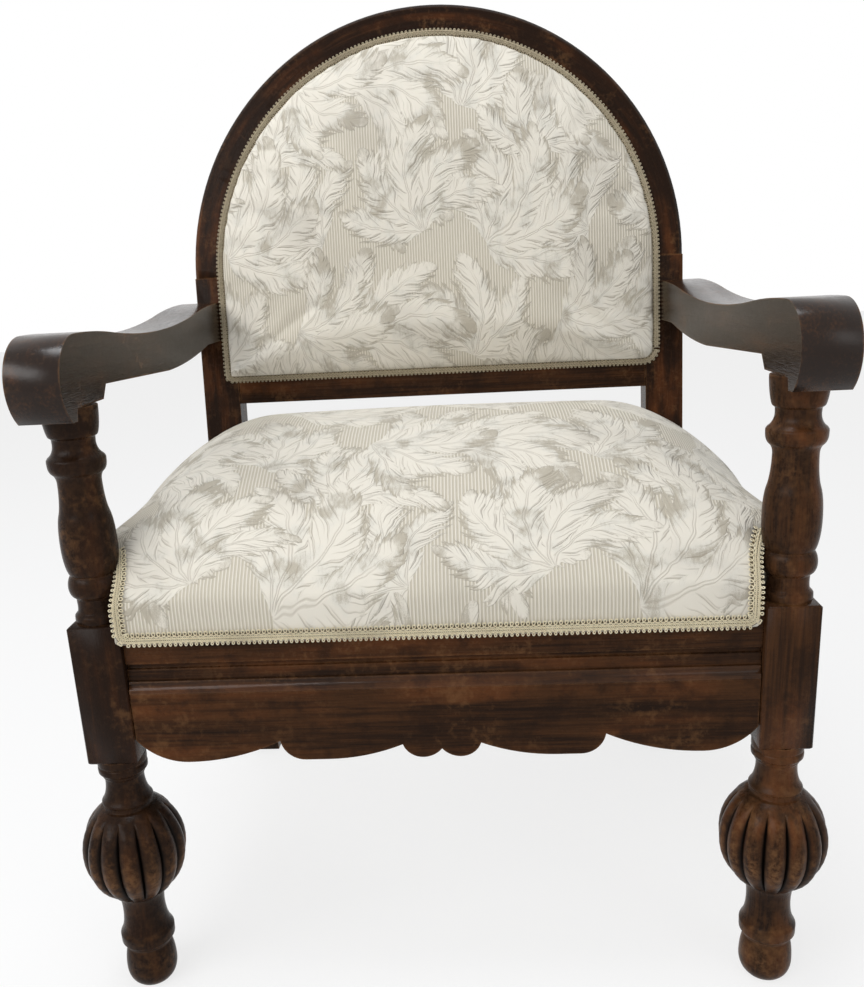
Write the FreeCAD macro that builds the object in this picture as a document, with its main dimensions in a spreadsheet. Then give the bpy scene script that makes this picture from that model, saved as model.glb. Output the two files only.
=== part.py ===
import FreeCAD, Part
import math
import os
import Sketcher

# Upholstered oak armchair with an arched back, turned front legs that carry on as arm
# supports, scroll arms, a moulded front rail with a shaped apron, and a stuffed seat and back.
# Millimetres and degrees. +Z is up, the chair faces -Y, and the origin is on the floor
# under the middle of its bounding box.

SIZES = {
    # plan of the frame
    "leg_spacing": 600,
    "frame_depth": 379,
    "rake": 7,
    # turned foot and lower leg, from the floor up
    "foot_base_radius": 18.5,
    "foot_radius": 24.2,
    "foot_low_height": 17,
    "foot_high_height": 22,
    "foot_neck_radius": 20.8,
    "anklet_radius": 25.4,
    "anklet_under_height": 9,
    "anklet_face_height": 10,
    "anklet_cove_height": 24,
    "ankle_radius": 19.8,
    "throat_height": 18,
    "throat_radius": 22.8,
    "bulb_radius": 48,
    "bulb_low_height": 48,
    "bulb_high_height": 46,
    "bulb_neck_radius": 21.5,
    "bulb_neck_height": 5,
    "flare_radius": 23.6,
    "flare_lip_height": 2,
    "flare_cove_height": 20,
    "neck_radius": 17.8,
    "cup_round_height": 15,
    "cup_radius": 22.5,
    "cup_neck_height": 11,
    # lobes round the bulb, the core that they stand on and the smooth caps over their ends
    "lobe_count": 14,
    "lobe_radius": 9.6,
    "lobe_sweep": 96,
    "core_inset": 7,
    "cap_drop": 10,
    "cap_stand": 0.4,
    # square block that takes the rails
    "block_width": 46,
    "block_height": 133,
    "block_chamfer": 1.2,
    # turned arm support, from the block up
    "base_ring_radius": 21,
    "base_ring_height": 7,
    "base_ring_round": 8,
    "waist_radius": 17.3,
    "waist_height": 9,
    "torus_radius": 22.7,
    "torus_low_height": 11,
    "torus_slope_height": 6,
    "torus_high_height": 9,
    "vase_foot_radius": 19.2,
    "vase_radius": 24,
    "vase_low_height": 26,
    "vase_high_height": 58,
    "collar_radius": 24.3,
    "collar_neck_radius": 17.8,
    "collar_under_height": 12,
    "collar_face_height": 7,
    "collar_cove_height": 12,
    "head_groove_radius": 18.6,
    "head_groove_height": 6,
    "head_foot_radius": 19.8,
    "head_radius": 23.6,
    "head_height": 26,
    "tenon_radius": 9,
    "arm_tenon_length": 18,
    # back posts, bow and lower back rail
    "back_inset": 8,
    "post_width": 44,
    "post_depth": 34,
    "post_above_arm": 29,
    "knee_clearance": 8,
    "foot_setback": 80,
    "back_foot_depth": 30,
    "back_foot_width": 34,
    "bow_chamfer": 4,
    "lower_rail_rise": 132,
    "lower_rail_height": 42,
    "lower_rail_inset": 0.8,
    "dowel_radius": 4,
    "dowel_length": 40,
    "dowel_pitch": 14,
    # arms
    "arm_width": 45.5,
    "arm_clearance": 0.6,
    "arm_splay": 2.2,
    "arm_front_height": 59,
    "arm_rear_height": 62,
    "arm_front_reach": 72,
    "arm_front_drop": 5.7,
    "arm_crest_reach": 108,
    "arm_crest_drop": 8.5,
    "arm_top_sag": 7.4,
    "roll_radius": 39,
    "roll_setback": 11,
    "roll_tip_drop": 10,
    "roll_tip_width": 9,
    "arm_pad_front": 24,
    "arm_pad_rear": 30,
    "arm_pad_height": 12,
    "arm_pad_slope": 9,
    "arm_belly_reach": 205,
    "arm_belly_rise": 4,
    "arm_heel_rise": 17,
    "arm_heel_length": 56,
    # screws that hold the arms to the posts, and their plugs
    "screw_radius": 2.5,
    "screw_head_radius": 5,
    "screw_head_height": 3,
    "screw_bite": 28,
    "screw_rise": 38,
    "screw_inset": 28,
    "plug_radius": 6.5,
    "plug_depth": 8,
    # seat rails
    "rail_thickness": 24,
    "rail_height": 66,
    "rail_setback": 7,
    "rear_rail_inset": 5,
    "side_front_reach": 2,
    "side_rear_inset": 1.5,
    "tenon_length": 18,
    "tenon_thickness": 9,
    "tenon_shoulder": 8,
    "fit": 0.2,
    "corner_block_leg": 64,
    "corner_block_clip": 16,
    "corner_block_height": 34,
    "corner_block_drop": 14,
    # front rail, moulding and apron
    "fascia_height": 38,
    "fascia_step": 1.5,
    "groove_height": 5,
    "groove_depth": 3,
    "moulding_height": 12,
    "moulding_depth": 4.6,
    "moulding_fillet": 2.4,
    "moulding_nose": 4.5,
    "apron_height": 68,
    "apron_thickness": 15,
    "apron_step": 3.5,
    "apron_gap": 0.6,
    # shaped lower edge of the apron, from its middle outwards, as shares of its half length
    "small_lobe_share": 0.0615,
    "inner_cusp_share": 0.1265,
    "middle_lobe_share": 0.369,
    "outer_cusp_start_share": 0.445,
    "outer_cusp_share": 0.5245,
    "outer_lobe_share": 0.832,
    "notch_rise": 8,
    "inner_cusp_rise": 13,
    "outer_cusp_rise": 19,
    "apron_end_rise": 23,
    # seat upholstery
    "strap_width": 50,
    "strap_thickness": 1.2,
    "strap_inset": 6,
    "strap_end_gap": 39,
    "hessian_thickness": 0.8,
    "hessian_inset": 9,
    "soft_gap": 0.3,
    "cover_thickness": 1.8,
    "skirt_height": 17,
    "front_stuffing": 9.5,
    "side_stuffing": 6,
    "rear_stuffing": 7,
    "seat_height": 139,
    "seat_front_drop": 112,
    "peak_depth": 242,
    "nose_depth": 22,
    "nose_drop": 16,
    "shoulder_width": 127,
    "shoulder_rise": 68,
    "nose_shoulder_rise": 26,
    "corner_lap": 8,
    "braid_width": 14,
    "braid_thickness": 2.4,
    "riser_width": 12,
    "riser_height": 24,
    # back upholstery
    "back_strap_share": 0.47,
    "back_lap": 17,
    "back_cover_thickness": 1.5,
    "back_braid_width": 10,
    "back_crown": 20,
    "back_flat_share": 0.35,
    "back_edge_crown": 3,
    "back_edge_depth": 46,
    "outside_lap": 13,
}


class Size:
    """A length, angle or count: its number, and the words that tie a feature to the sheet."""

    def __init__(self, number, words):
        self.number = number
        self.words = words

    def __add__(self, other):
        other = as_size(other)
        return Size(self.number + other.number, "(%s + %s)" % (self.words, other.words))

    def __sub__(self, other):
        other = as_size(other)
        return Size(self.number - other.number, "(%s - %s)" % (self.words, other.words))

    def __mul__(self, other):
        other = as_size(other)
        return Size(self.number * other.number, "(%s * %s)" % (self.words, other.words))

    def __truediv__(self, other):
        other = as_size(other)
        return Size(self.number / other.number, "(%s / %s)" % (self.words, other.words))

    def __neg__(self):
        return self * -1


def as_size(value):
    """A Size as it is, or a plain number as a Size."""
    if isinstance(value, Size):
        return value
    return Size(value, "(%s)" % value)


def sine(angle):
    return Size(math.sin(math.radians(angle.number)), "sin(%s)" % angle.words)


def cosine(angle):
    return Size(math.cos(math.radians(angle.number)), "cos(%s)" % angle.words)


def tangent(angle):
    return Size(math.tan(math.radians(angle.number)), "tan(%s)" % angle.words)


def larger(one, other):
    """The larger of two sizes, whichever that is."""
    return Size(max(one.number, other.number), "max(%s; %s)" % (one.words, other.words))


def leg_of(longest, other):
    """The third side of a right triangle, from its longest side and another."""
    number = math.sqrt(longest.number ** 2 - other.number ** 2)
    return Size(number, "sqrt(%s * %s - %s * %s)" % (
        longest.words, longest.words, other.words, other.words))


def swing(across, along):
    """Radius of an arc that starts straight along, and ends that far along and across."""
    return (across * across + along * along) / (across * 2)


def bow_radius(half_chord, rise):
    """Radius of an arc over a chord, from half the chord and the arc's rise."""
    return (half_chord * half_chord + rise * rise) / (rise * 2)


class Sheet:
    """The named sizes, each also a cell of the document's spreadsheet."""

    def __init__(self, doc, sizes):
        cells = doc.addObject("Spreadsheet::Sheet", "Sizes")
        for row, (name, number) in enumerate(sizes.items(), start=1):
            cells.set("A%d" % row, name)
            cells.set("B%d" % row, str(number))
            cells.setAlias("B%d" % row, name)
            setattr(self, name, Size(number, "Sizes." + name))


doc = FreeCAD.newDocument("armchair")
s = Sheet(doc, SIZES)
doc.recompute()

# Heights and places that several pieces share, all worked out from the sheet.
ZERO = as_size(0)
FOOT_TOP = s.foot_low_height + s.foot_high_height
ANKLET_TOP = FOOT_TOP + s.anklet_under_height + s.anklet_face_height
ANKLE = ANKLET_TOP + s.anklet_cove_height
BULB_BOTTOM = ANKLE + s.throat_height
BULB_MIDDLE = BULB_BOTTOM + s.bulb_low_height
BULB_TOP = BULB_MIDDLE + s.bulb_high_height
BULB_ARC = swing(s.bulb_radius - s.throat_radius, s.bulb_low_height)
FLARE_BOTTOM = BULB_TOP + s.bulb_neck_height
FLARE_TOP = FLARE_BOTTOM + s.flare_lip_height
NECK = FLARE_TOP + s.flare_cove_height
CUP_SIDE = NECK + s.cup_round_height
BLOCK_BOTTOM = CUP_SIDE + s.cup_neck_height
BLOCK_TOP = BLOCK_BOTTOM + s.block_height
WAIST = BLOCK_TOP + s.base_ring_height + s.base_ring_round
TORUS_BOTTOM = WAIST + s.waist_height
TORUS_LOW = TORUS_BOTTOM + s.torus_slope_height
TORUS_MIDDLE = TORUS_BOTTOM + s.torus_low_height
VASE_BOTTOM = TORUS_MIDDLE + s.torus_high_height
VASE_MIDDLE = VASE_BOTTOM + s.vase_low_height
VASE_TOP = VASE_MIDDLE + s.vase_high_height
COLLAR_FACE = VASE_TOP + s.collar_under_height
COLLAR_TOP = COLLAR_FACE + s.collar_face_height
COVE_TOP = COLLAR_TOP + s.collar_cove_height
HEAD_BOTTOM = COVE_TOP + s.head_groove_height
ARM_SEAT = HEAD_BOTTOM + s.head_height

HALF_SPACING = s.leg_spacing / 2
HALF_BLOCK = s.block_width / 2
BETWEEN_BLOCKS = HALF_SPACING - HALF_BLOCK
BACK_HALF_WIDTH = HALF_SPACING - s.back_inset
BETWEEN_POSTS = BACK_HALF_WIDTH - s.post_width
POST_CENTRE = BACK_HALF_WIDTH - s.post_width / 2
POST_LENGTH = (ARM_SEAT + s.arm_rear_height - BLOCK_TOP) / cosine(s.rake) + s.post_above_arm
LOWER_RAIL_TOP = s.lower_rail_rise + s.lower_rail_height
RAIL_FRONT = s.rail_setback - HALF_BLOCK
RAIL_BOTTOM = BLOCK_TOP - s.rail_height
RAIL_BACK = RAIL_FRONT + s.rail_thickness
KNEE = RAIL_BOTTOM - s.knee_clearance
REAR_RAIL_FRONT = s.frame_depth + s.rear_rail_inset
REAR_RAIL_BACK = REAR_RAIL_FRONT + s.rail_thickness
APRON_BOTTOM = RAIL_BOTTOM - s.apron_height
SIDE_FRONT = HALF_SPACING + s.side_front_reach
SIDE_REAR = BACK_HALF_WIDTH - s.side_rear_inset
SCREW_ALONG = (ARM_SEAT + s.screw_rise - BLOCK_TOP) / cosine(s.rake)
SCREW_ACROSS = BETWEEN_POSTS + s.screw_inset
HESSIAN_BOTTOM = BLOCK_TOP + s.strap_thickness
HESSIAN_TOP = HESSIAN_BOTTOM + s.hessian_thickness
LEG_REACH = larger(HALF_BLOCK, s.vase_radius) + s.soft_gap
SKIRT_BOTTOM = BLOCK_TOP - s.skirt_height
SEAT_FRONT = RAIL_FRONT - s.fascia_step - s.front_stuffing
SEAT_REAR = REAR_RAIL_BACK + s.rear_stuffing
SEAT_TOP = BLOCK_TOP + s.seat_height
DOME_RADIUS = swing(s.seat_front_drop, s.peak_depth)
BACK_REACH = BETWEEN_POSTS + s.back_lap
BACK_LOW = LOWER_RAIL_TOP - s.back_lap
CROWN_LAP = s.back_lap - s.back_braid_width - s.soft_gap
FRONT_REACH = s.roll_setback + s.roll_radius
REAR_REACH = s.frame_depth + larger(
    (POST_LENGTH + BACK_HALF_WIDTH) * sine(s.rake) + s.post_depth * cosine(s.rake),
    s.foot_setback + s.back_foot_depth)
SHIFT = (FRONT_REACH - REAR_REACH) / 2


def post_front(height):
    """How far back the posts' raked front face lies at a height above the floor."""
    return s.frame_depth + (height - BLOCK_TOP) * tangent(s.rake)


def side_line(depth):
    """How far out the outer face of a side rail lies at a depth."""
    share = (depth - HALF_BLOCK) / (s.frame_depth - HALF_BLOCK)
    return SIDE_FRONT + (SIDE_REAR - SIDE_FRONT) * share


def tie(thing, path, size):
    """Tie one property of a document object to the sheet."""
    thing.setExpression(path, size.words)


def place(thing, across, depth, height, raked=False):
    """Put a sub-part at its place, upright or leaning back with the rake."""
    turn = FreeCAD.Rotation()
    if raked:
        turn = FreeCAD.Rotation(FreeCAD.Vector(-1, 0, 0), s.rake.number)
    spot = FreeCAD.Vector(across.number, depth.number, height.number)
    thing.Placement = FreeCAD.Placement(spot, turn)
    tie(thing, "Placement.Base.x", across)
    tie(thing, "Placement.Base.y", depth)
    tie(thing, "Placement.Base.z", height)
    if raked:
        tie(thing, "Placement.Rotation.Angle", s.rake)


def place_upright(thing, across=ZERO):
    """Place a sub-part drawn from the line of the front leg axes, on the floor."""
    place(thing, across, SHIFT, ZERO)


def place_in_back(thing):
    """Place a sub-part drawn in the back's own frame: x across, y behind, z up the rake."""
    place(thing, ZERO, SHIFT + s.frame_depth, BLOCK_TOP, raked=True)


def new_body(label):
    body = doc.addObject("PartDesign::Body", label)
    body.Label = label
    return body


def new_sketch(body, name, role, lift=ZERO, raked=False):
    """A sketch on one of the body's own origin planes, lifted along that plane's normal.

    In an upright body, a raked sketch is turned and moved into the back's own frame."""
    sketch = body.newObject("Sketcher::SketchObject", name)
    planes = [plane for plane in body.Origin.OriginFeatures if plane.Role == role]
    sketch.AttachmentSupport = [(planes[0], "")]
    sketch.MapMode = "FlatFace"
    spot = (ZERO, ZERO, lift)
    axis = FreeCAD.Vector(-1, 0, 0)
    if raked and role == "XY_Plane":
        spot = (ZERO, s.frame_depth + lift * sine(s.rake), BLOCK_TOP + lift * cosine(s.rake))
    elif raked and role == "XZ_Plane":
        spot = (ZERO, BLOCK_TOP + lift * sine(s.rake), lift * cosine(s.rake) - s.frame_depth)
    elif raked:
        spot = (s.frame_depth, BLOCK_TOP, lift)
        axis = FreeCAD.Vector(0, 0, -1)
    turn = FreeCAD.Rotation(axis, s.rake.number) if raked else FreeCAD.Rotation()
    sketch.AttachmentOffset = FreeCAD.Placement(
        FreeCAD.Vector(spot[0].number, spot[1].number, spot[2].number), turn)
    for letter, size in zip("xyz", spot):
        tie(sketch, "AttachmentOffset.Base." + letter, size)
    if raked:
        tie(sketch, "AttachmentOffset.Rotation.Angle", s.rake)
    return sketch


# How a sketch names its origin, and the start, end and centre of a line, arc or circle.
SKETCH_ORIGIN = (-1, 1)
START, END, CENTRE = range(1, 4)


def arc_between(start, end, radius):
    """The shorter arc from start to end. It turns left where the radius is positive."""
    across = end[0] - start[0]
    along = end[1] - start[1]
    chord = math.hypot(across, along)
    side = math.copysign(1, radius)
    reach = math.sqrt(radius * radius - chord * chord / 4) * side / chord
    centre = ((start[0] + end[0]) / 2 - along * reach, (start[1] + end[1]) / 2 + across * reach)
    first, last = (start, end) if side > 0 else (end, start)
    angles = [math.atan2(point[1] - centre[1], point[0] - centre[0]) for point in (first, last)]
    circle = Part.Circle(FreeCAD.Vector(centre[0], centre[1], 0), FreeCAD.Vector(0, 0, 1), abs(radius))
    return Part.ArcOfCircle(circle, angles[0], angles[1])


def fix_distance(sketch, kind, side, end, size):
    """Hold one point of a side at its distance from the sketch's origin."""
    index = sketch.addConstraint(
        Sketcher.Constraint(kind, *SKETCH_ORIGIN, side, end, size.number))
    tie(sketch, "Constraints[%d]" % index, size)


def fix_radius(sketch, side, size):
    index = sketch.addConstraint(Sketcher.Constraint("Radius", side, size.number))
    tie(sketch, "Constraints[%d]" % index, size)


def draw(sketch, corners):
    """Draw a closed outline. A corner is (x, y), or (x, y, radius) where an arc leads to it
    from the corner before: it turns left where the radius is positive, right where negative."""
    corners = [tuple(as_size(value) for value in corner) for corner in corners]
    first = sketch.GeometryCount
    start_ends = []
    for index, corner in enumerate(corners):
        following = corners[(index + 1) % len(corners)]
        start = (corner[0].number, corner[1].number)
        end = (following[0].number, following[1].number)
        if len(following) > 2:
            sketch.addGeometry(arc_between(start, end, following[2].number), False)
            start_ends.append(START if following[2].number > 0 else END)
        else:
            line = Part.LineSegment(FreeCAD.Vector(*start, 0), FreeCAD.Vector(*end, 0))
            sketch.addGeometry(line, False)
            start_ends.append(START)
    for index, corner in enumerate(corners):
        after = (index + 1) % len(corners)
        side = first + index
        finish = END if start_ends[index] == START else START
        sketch.addConstraint(
            Sketcher.Constraint("Coincident", side, finish, first + after, start_ends[after]))
        fix_distance(sketch, "DistanceX", side, start_ends[index], corner[0])
        fix_distance(sketch, "DistanceY", side, start_ends[index], corner[1])
        if len(corners[after]) > 2:
            bend = corners[after][2]
            fix_radius(sketch, side, bend if bend.number > 0 else -bend)


def draw_circle(sketch, across, along, radius):
    """Draw a circle and tie its centre and radius."""
    middle = FreeCAD.Vector(across.number, along.number, 0)
    side = sketch.addGeometry(Part.Circle(middle, FreeCAD.Vector(0, 0, 1), radius.number), False)
    fix_distance(sketch, "DistanceX", side, CENTRE, across)
    fix_distance(sketch, "DistanceY", side, CENTRE, along)
    fix_radius(sketch, side, radius)


def draw_axis(sketch, start, end):
    """Draw a construction line that a feature turns about, and tie both its ends."""
    points = [FreeCAD.Vector(corner[0].number, corner[1].number, 0) for corner in (start, end)]
    side = sketch.addGeometry(Part.LineSegment(*points), True)
    for point, corner in ((START, start), (END, end)):
        fix_distance(sketch, "DistanceX", side, point, corner[0])
        fix_distance(sketch, "DistanceY", side, point, corner[1])


def box_corners(left, bottom, right, top):
    """The four corners of an upright rectangle."""
    return [(left, bottom), (right, bottom), (right, top), (left, top)]


def centred_box(middle_across, bottom, width, top):
    """The four corners of a rectangle about an upright middle line."""
    return box_corners(middle_across - width / 2, bottom, middle_across + width / 2, top)


def both_halves(half):
    """A closed outline from its right half, drawn anticlockwise from middle line to middle line."""
    start = half[0][:2] + half[1][2:]
    left = []
    for index in range(len(half) - 2, 0, -1):
        across, along = half[index][:2]
        left.append((-across, along) + half[index + 1][2:])
    return [start] + half[1:] + left


def pad(body, sketch, length, reverse=False, both_ways=False):
    """Pad a sketch along its normal, against it, or half of the length each way."""
    feature = body.newObject("PartDesign::Pad", "Pad")
    feature.Profile = sketch
    feature.Length = length.number
    tie(feature, "Length", length)
    feature.Reversed = reverse
    if both_ways:
        feature.SideType = "Symmetric"
    return feature


def pocket(body, sketch, length, reverse=False, both_ways=False):
    """Cut a sketch into the body against its normal, along it, or half each way."""
    doc.recompute()
    before = body.Shape.Volume
    feature = body.newObject("PartDesign::Pocket", "Pocket")
    feature.Profile = sketch
    feature.Length = length.number
    tie(feature, "Length", length)
    feature.Reversed = reverse
    if both_ways:
        feature.SideType = "Symmetric"
    check_cut(body, before)
    return feature


def check_cut(body, before):
    """A cut that misses the solid leaves its volume as it was."""
    doc.recompute()
    if not body.Shape.Volume < before:
        raise ValueError("a cut in %s misses the solid" % body.Label)


def turn_about(body, sketch, angle=360, reverse=False):
    """Revolve a sketch about its own upright axis."""
    feature = body.newObject("PartDesign::Revolution", "Turned")
    feature.Profile = sketch
    feature.ReferenceAxis = (sketch, ["V_Axis"])
    feature.Angle = angle
    feature.Reversed = reverse
    return feature


def ruled_loft(body, sketches):
    """Loft straight from each sketch to the next."""
    feature = body.newObject("PartDesign::AdditiveLoft", "Loft")
    feature.Profile = sketches[0]
    feature.Sections = sketches[1:]
    feature.Ruled = True
    return feature


def swing_about(body, kind, sketch, sweep):
    """Swing a sketch about its own construction axis, by half a sweep each way."""
    feature = body.newObject("PartDesign::" + kind, kind)
    feature.Profile = sketch
    feature.ReferenceAxis = (sketch, ["Axis0"])
    feature.Angle = sweep.number
    tie(feature, "Angle", sweep)
    feature.Midplane = True
    return feature


def block_section(half, chamfer):
    """A square section with small chamfers, drawn round the origin."""
    corners = []
    for across, along in ((1, -1), (1, 1), (-1, 1), (-1, -1)):
        edge = half - chamfer
        first = (half * across, edge * along) if across * along > 0 else (edge * across, half * along)
        second = (edge * across, half * along) if across * along > 0 else (half * across, edge * along)
        corners += [first, second]
    return corners


def cut_between(upright, other):
    """The point where two straight cuts meet, in place of a shallow arc that is upright at the
    first of its ends."""
    return (upright[0] * 3 + other[0]) / 4, (upright[1] + other[1]) / 2


def lower_turning():
    """Half outline of the turned lower leg, from the floor up to the block. The bulb is the
    core that its lobes stand on, with a smooth cap over each end of them."""
    foot_base = (s.foot_base_radius, ZERO)
    foot_widest = (s.foot_radius, s.foot_low_height)
    foot_neck = (s.foot_neck_radius, FOOT_TOP)
    core_radius = s.bulb_radius - s.core_inset
    core_arc = swing(core_radius - s.throat_radius, s.bulb_low_height)
    cap_arc = BULB_ARC + s.cap_stand
    cap_centre = s.bulb_radius - BULB_ARC
    cap_rise = s.bulb_high_height - s.cap_drop
    cap_radius = cap_centre + leg_of(cap_arc, cap_rise)
    core_end = core_radius - core_arc + leg_of(core_arc, cap_rise)
    return [
        (ZERO, ZERO),
        foot_base,
        cut_between(foot_widest, foot_base),
        foot_widest,
        cut_between(foot_widest, foot_neck),
        foot_neck,
        (s.anklet_radius, FOOT_TOP + s.anklet_under_height),
        (s.anklet_radius, ANKLET_TOP),
        (s.ankle_radius, ANKLE),
        (s.throat_radius, BULB_BOTTOM),
        (cap_centre + leg_of(cap_arc, s.bulb_low_height), BULB_BOTTOM),
        (cap_radius, BULB_MIDDLE - cap_rise),
        (core_end, BULB_MIDDLE - cap_rise),
        (core_radius, BULB_MIDDLE),
        (core_end, BULB_MIDDLE + cap_rise),
        (cap_radius, BULB_MIDDLE + cap_rise),
        (cap_centre + leg_of(cap_arc, s.bulb_high_height), BULB_TOP),
        (s.bulb_neck_radius, BULB_TOP),
        (s.bulb_neck_radius, FLARE_BOTTOM),
        (s.flare_radius, FLARE_BOTTOM),
        (s.flare_radius, FLARE_TOP),
        (s.neck_radius, NECK),
        (s.cup_radius, CUP_SIDE),
        (s.cup_radius, BLOCK_BOTTOM),
        (ZERO, BLOCK_BOTTOM),
    ]


def upper_turning():
    """Half outline of the turned arm support, from the block up to its tenon in the arm."""
    half_vase = s.vase_high_height / 2
    vase_middle_radius = (s.vase_radius + s.collar_neck_radius) / 2
    vase_low = swing(s.vase_radius - s.vase_foot_radius, s.vase_low_height)
    vase_high = swing(s.vase_radius - vase_middle_radius, half_vase)
    head_foot = (s.head_foot_radius, HEAD_BOTTOM)
    head_rim = (s.head_radius, ARM_SEAT)
    return [
        (ZERO, BLOCK_TOP),
        (s.base_ring_radius, BLOCK_TOP),
        (s.base_ring_radius, BLOCK_TOP + s.base_ring_height),
        (s.waist_radius, WAIST),
        (s.waist_radius, TORUS_BOTTOM),
        (s.torus_radius, TORUS_LOW),
        (s.torus_radius, TORUS_MIDDLE),
        (s.vase_foot_radius, VASE_BOTTOM),
        (s.vase_radius, VASE_MIDDLE, vase_low),
        (vase_middle_radius, VASE_MIDDLE + half_vase, vase_high),
        (s.collar_neck_radius, VASE_TOP, -vase_high),
        (s.collar_radius, COLLAR_FACE),
        (s.collar_radius, COLLAR_TOP),
        (s.collar_neck_radius, COVE_TOP),
        (s.head_groove_radius, HEAD_BOTTOM),
        head_foot,
        cut_between(head_rim, head_foot),
        head_rim,
        (s.tenon_radius, ARM_SEAT),
        (s.tenon_radius, ARM_SEAT + s.arm_tenon_length),
        (ZERO, ARM_SEAT + s.arm_tenon_length),
    ]


def lobe_the_bulb(body):
    """Set the lobes round the bulb: each is an eight-sided bar bent to the bulb's outline, and
    where two meet they leave a flute."""
    sketch = new_sketch(body, "LobeSection", "XY_Plane", BULB_MIDDLE)
    crest = s.bulb_radius
    middle = crest - s.lobe_radius
    root = middle - s.lobe_radius
    half_side = s.lobe_radius * tangent(as_size(180 / 8))
    draw(sketch, [
        (root, -half_side),
        (middle - half_side, -s.lobe_radius),
        (middle + half_side, -s.lobe_radius),
        (crest, -half_side),
        (crest, half_side),
        (middle + half_side, s.lobe_radius),
        (middle - half_side, s.lobe_radius),
        (root, half_side),
    ])
    bend_centre = s.bulb_radius - BULB_ARC
    draw_axis(sketch, (bend_centre, ZERO), (bend_centre, s.lobe_radius))
    lobe = swing_about(body, "Revolution", sketch, s.lobe_sweep)
    around = body.newObject("PartDesign::PolarPattern", "Lobes")
    around.Originals = [lobe]
    around.Axis = (body.Origin.OriginFeatures[2], [""])
    around.Angle = 360
    around.Occurrences = int(s.lobe_count.number)
    tie(around, "Occurrences", s.lobe_count)
    body.Tip = around
    doc.recompute()


def mortise(body, sketch, corners, length, reverse=False):
    """Cut a mortise a little larger than its tenon all round: corners from box_corners."""
    (left, bottom), (right, top) = corners[0], corners[2]
    draw(sketch, box_corners(left - s.fit, bottom - s.fit, right + s.fit, top + s.fit))
    pocket(body, sketch, length + s.fit, reverse=reverse)


def rail_tenon(middle):
    """Cross-section of a seat rail's tenon about an upright middle line."""
    return centred_box(middle, RAIL_BOTTOM + s.tenon_shoulder, s.tenon_thickness,
                       BLOCK_TOP - s.tenon_shoulder)


def front_rail_tenon():
    return rail_tenon(RAIL_FRONT + s.rail_thickness / 2)


def rear_rail_tenon():
    return rail_tenon(REAR_RAIL_FRONT + s.rail_thickness / 2)


def side_rail_tenon(depth, sign):
    """Cross-section of a side rail's tenon at one end of the rail."""
    return rail_tenon((side_line(depth) - s.rail_thickness / 2) * sign)


def lower_back_rail_tenon():
    """Cross-section of the lower back rail's tenons, in the back's own frame."""
    middle = (s.lower_rail_inset + s.post_depth) / 2
    return centred_box(middle, s.lower_rail_rise + s.tenon_shoulder, s.tenon_thickness,
                       LOWER_RAIL_TOP - s.tenon_shoulder)


def shifted(corners, across):
    """The same corners, seen from an origin further across."""
    return [(corner[0] - across, corner[1]) for corner in corners]


def front_leg(label, sign):
    """One front leg: foot, lobed bulb, block and arm support, turned from one length of oak."""
    body = new_body(label)
    blank = new_sketch(body, "BlockSection", "XY_Plane", BLOCK_BOTTOM)
    draw(blank, block_section(HALF_BLOCK, s.block_chamfer))
    pad(body, blank, s.block_height)
    lower = new_sketch(body, "LowerTurning", "XZ_Plane")
    draw(lower, lower_turning())
    turn_about(body, lower)
    upper = new_sketch(body, "UpperTurning", "XZ_Plane")
    draw(upper, upper_turning())
    turn_about(body, upper)
    lobe_the_bulb(body)
    front = new_sketch(body, "FrontRailMortise", "YZ_Plane", HALF_BLOCK * -sign)
    mortise(body, front, front_rail_tenon(), s.tenon_length, reverse=sign > 0)
    side = new_sketch(body, "SideRailMortise", "XZ_Plane", -HALF_BLOCK)
    corners = shifted(side_rail_tenon(HALF_BLOCK, sign), HALF_SPACING * sign)
    mortise(body, side, corners, s.tenon_length, reverse=True)
    place_upright(body, HALF_SPACING * sign)
    return body


def post_outline():
    """Side view of a back post: upright at the seat, raked above it, sloping back below it."""
    rear = s.frame_depth + s.post_depth
    foot = s.frame_depth + s.foot_setback
    head_depth = s.frame_depth + POST_LENGTH * sine(s.rake)
    head_height = BLOCK_TOP + POST_LENGTH * cosine(s.rake)
    return [
        (foot, ZERO),
        (foot + s.back_foot_depth, ZERO),
        (rear, KNEE),
        (rear, BLOCK_TOP - s.post_depth * tangent(s.rake / 2)),
        (head_depth + s.post_depth * cosine(s.rake), head_height - s.post_depth * sine(s.rake)),
        (head_depth, head_height),
        (s.frame_depth, BLOCK_TOP),
        (s.frame_depth, KNEE),
    ]


def dowel_places():
    """How far behind the posts' front face the two dowels of a bow joint are."""
    middle = s.post_depth / 2
    return [middle - s.dowel_pitch / 2, middle + s.dowel_pitch / 2]


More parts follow.
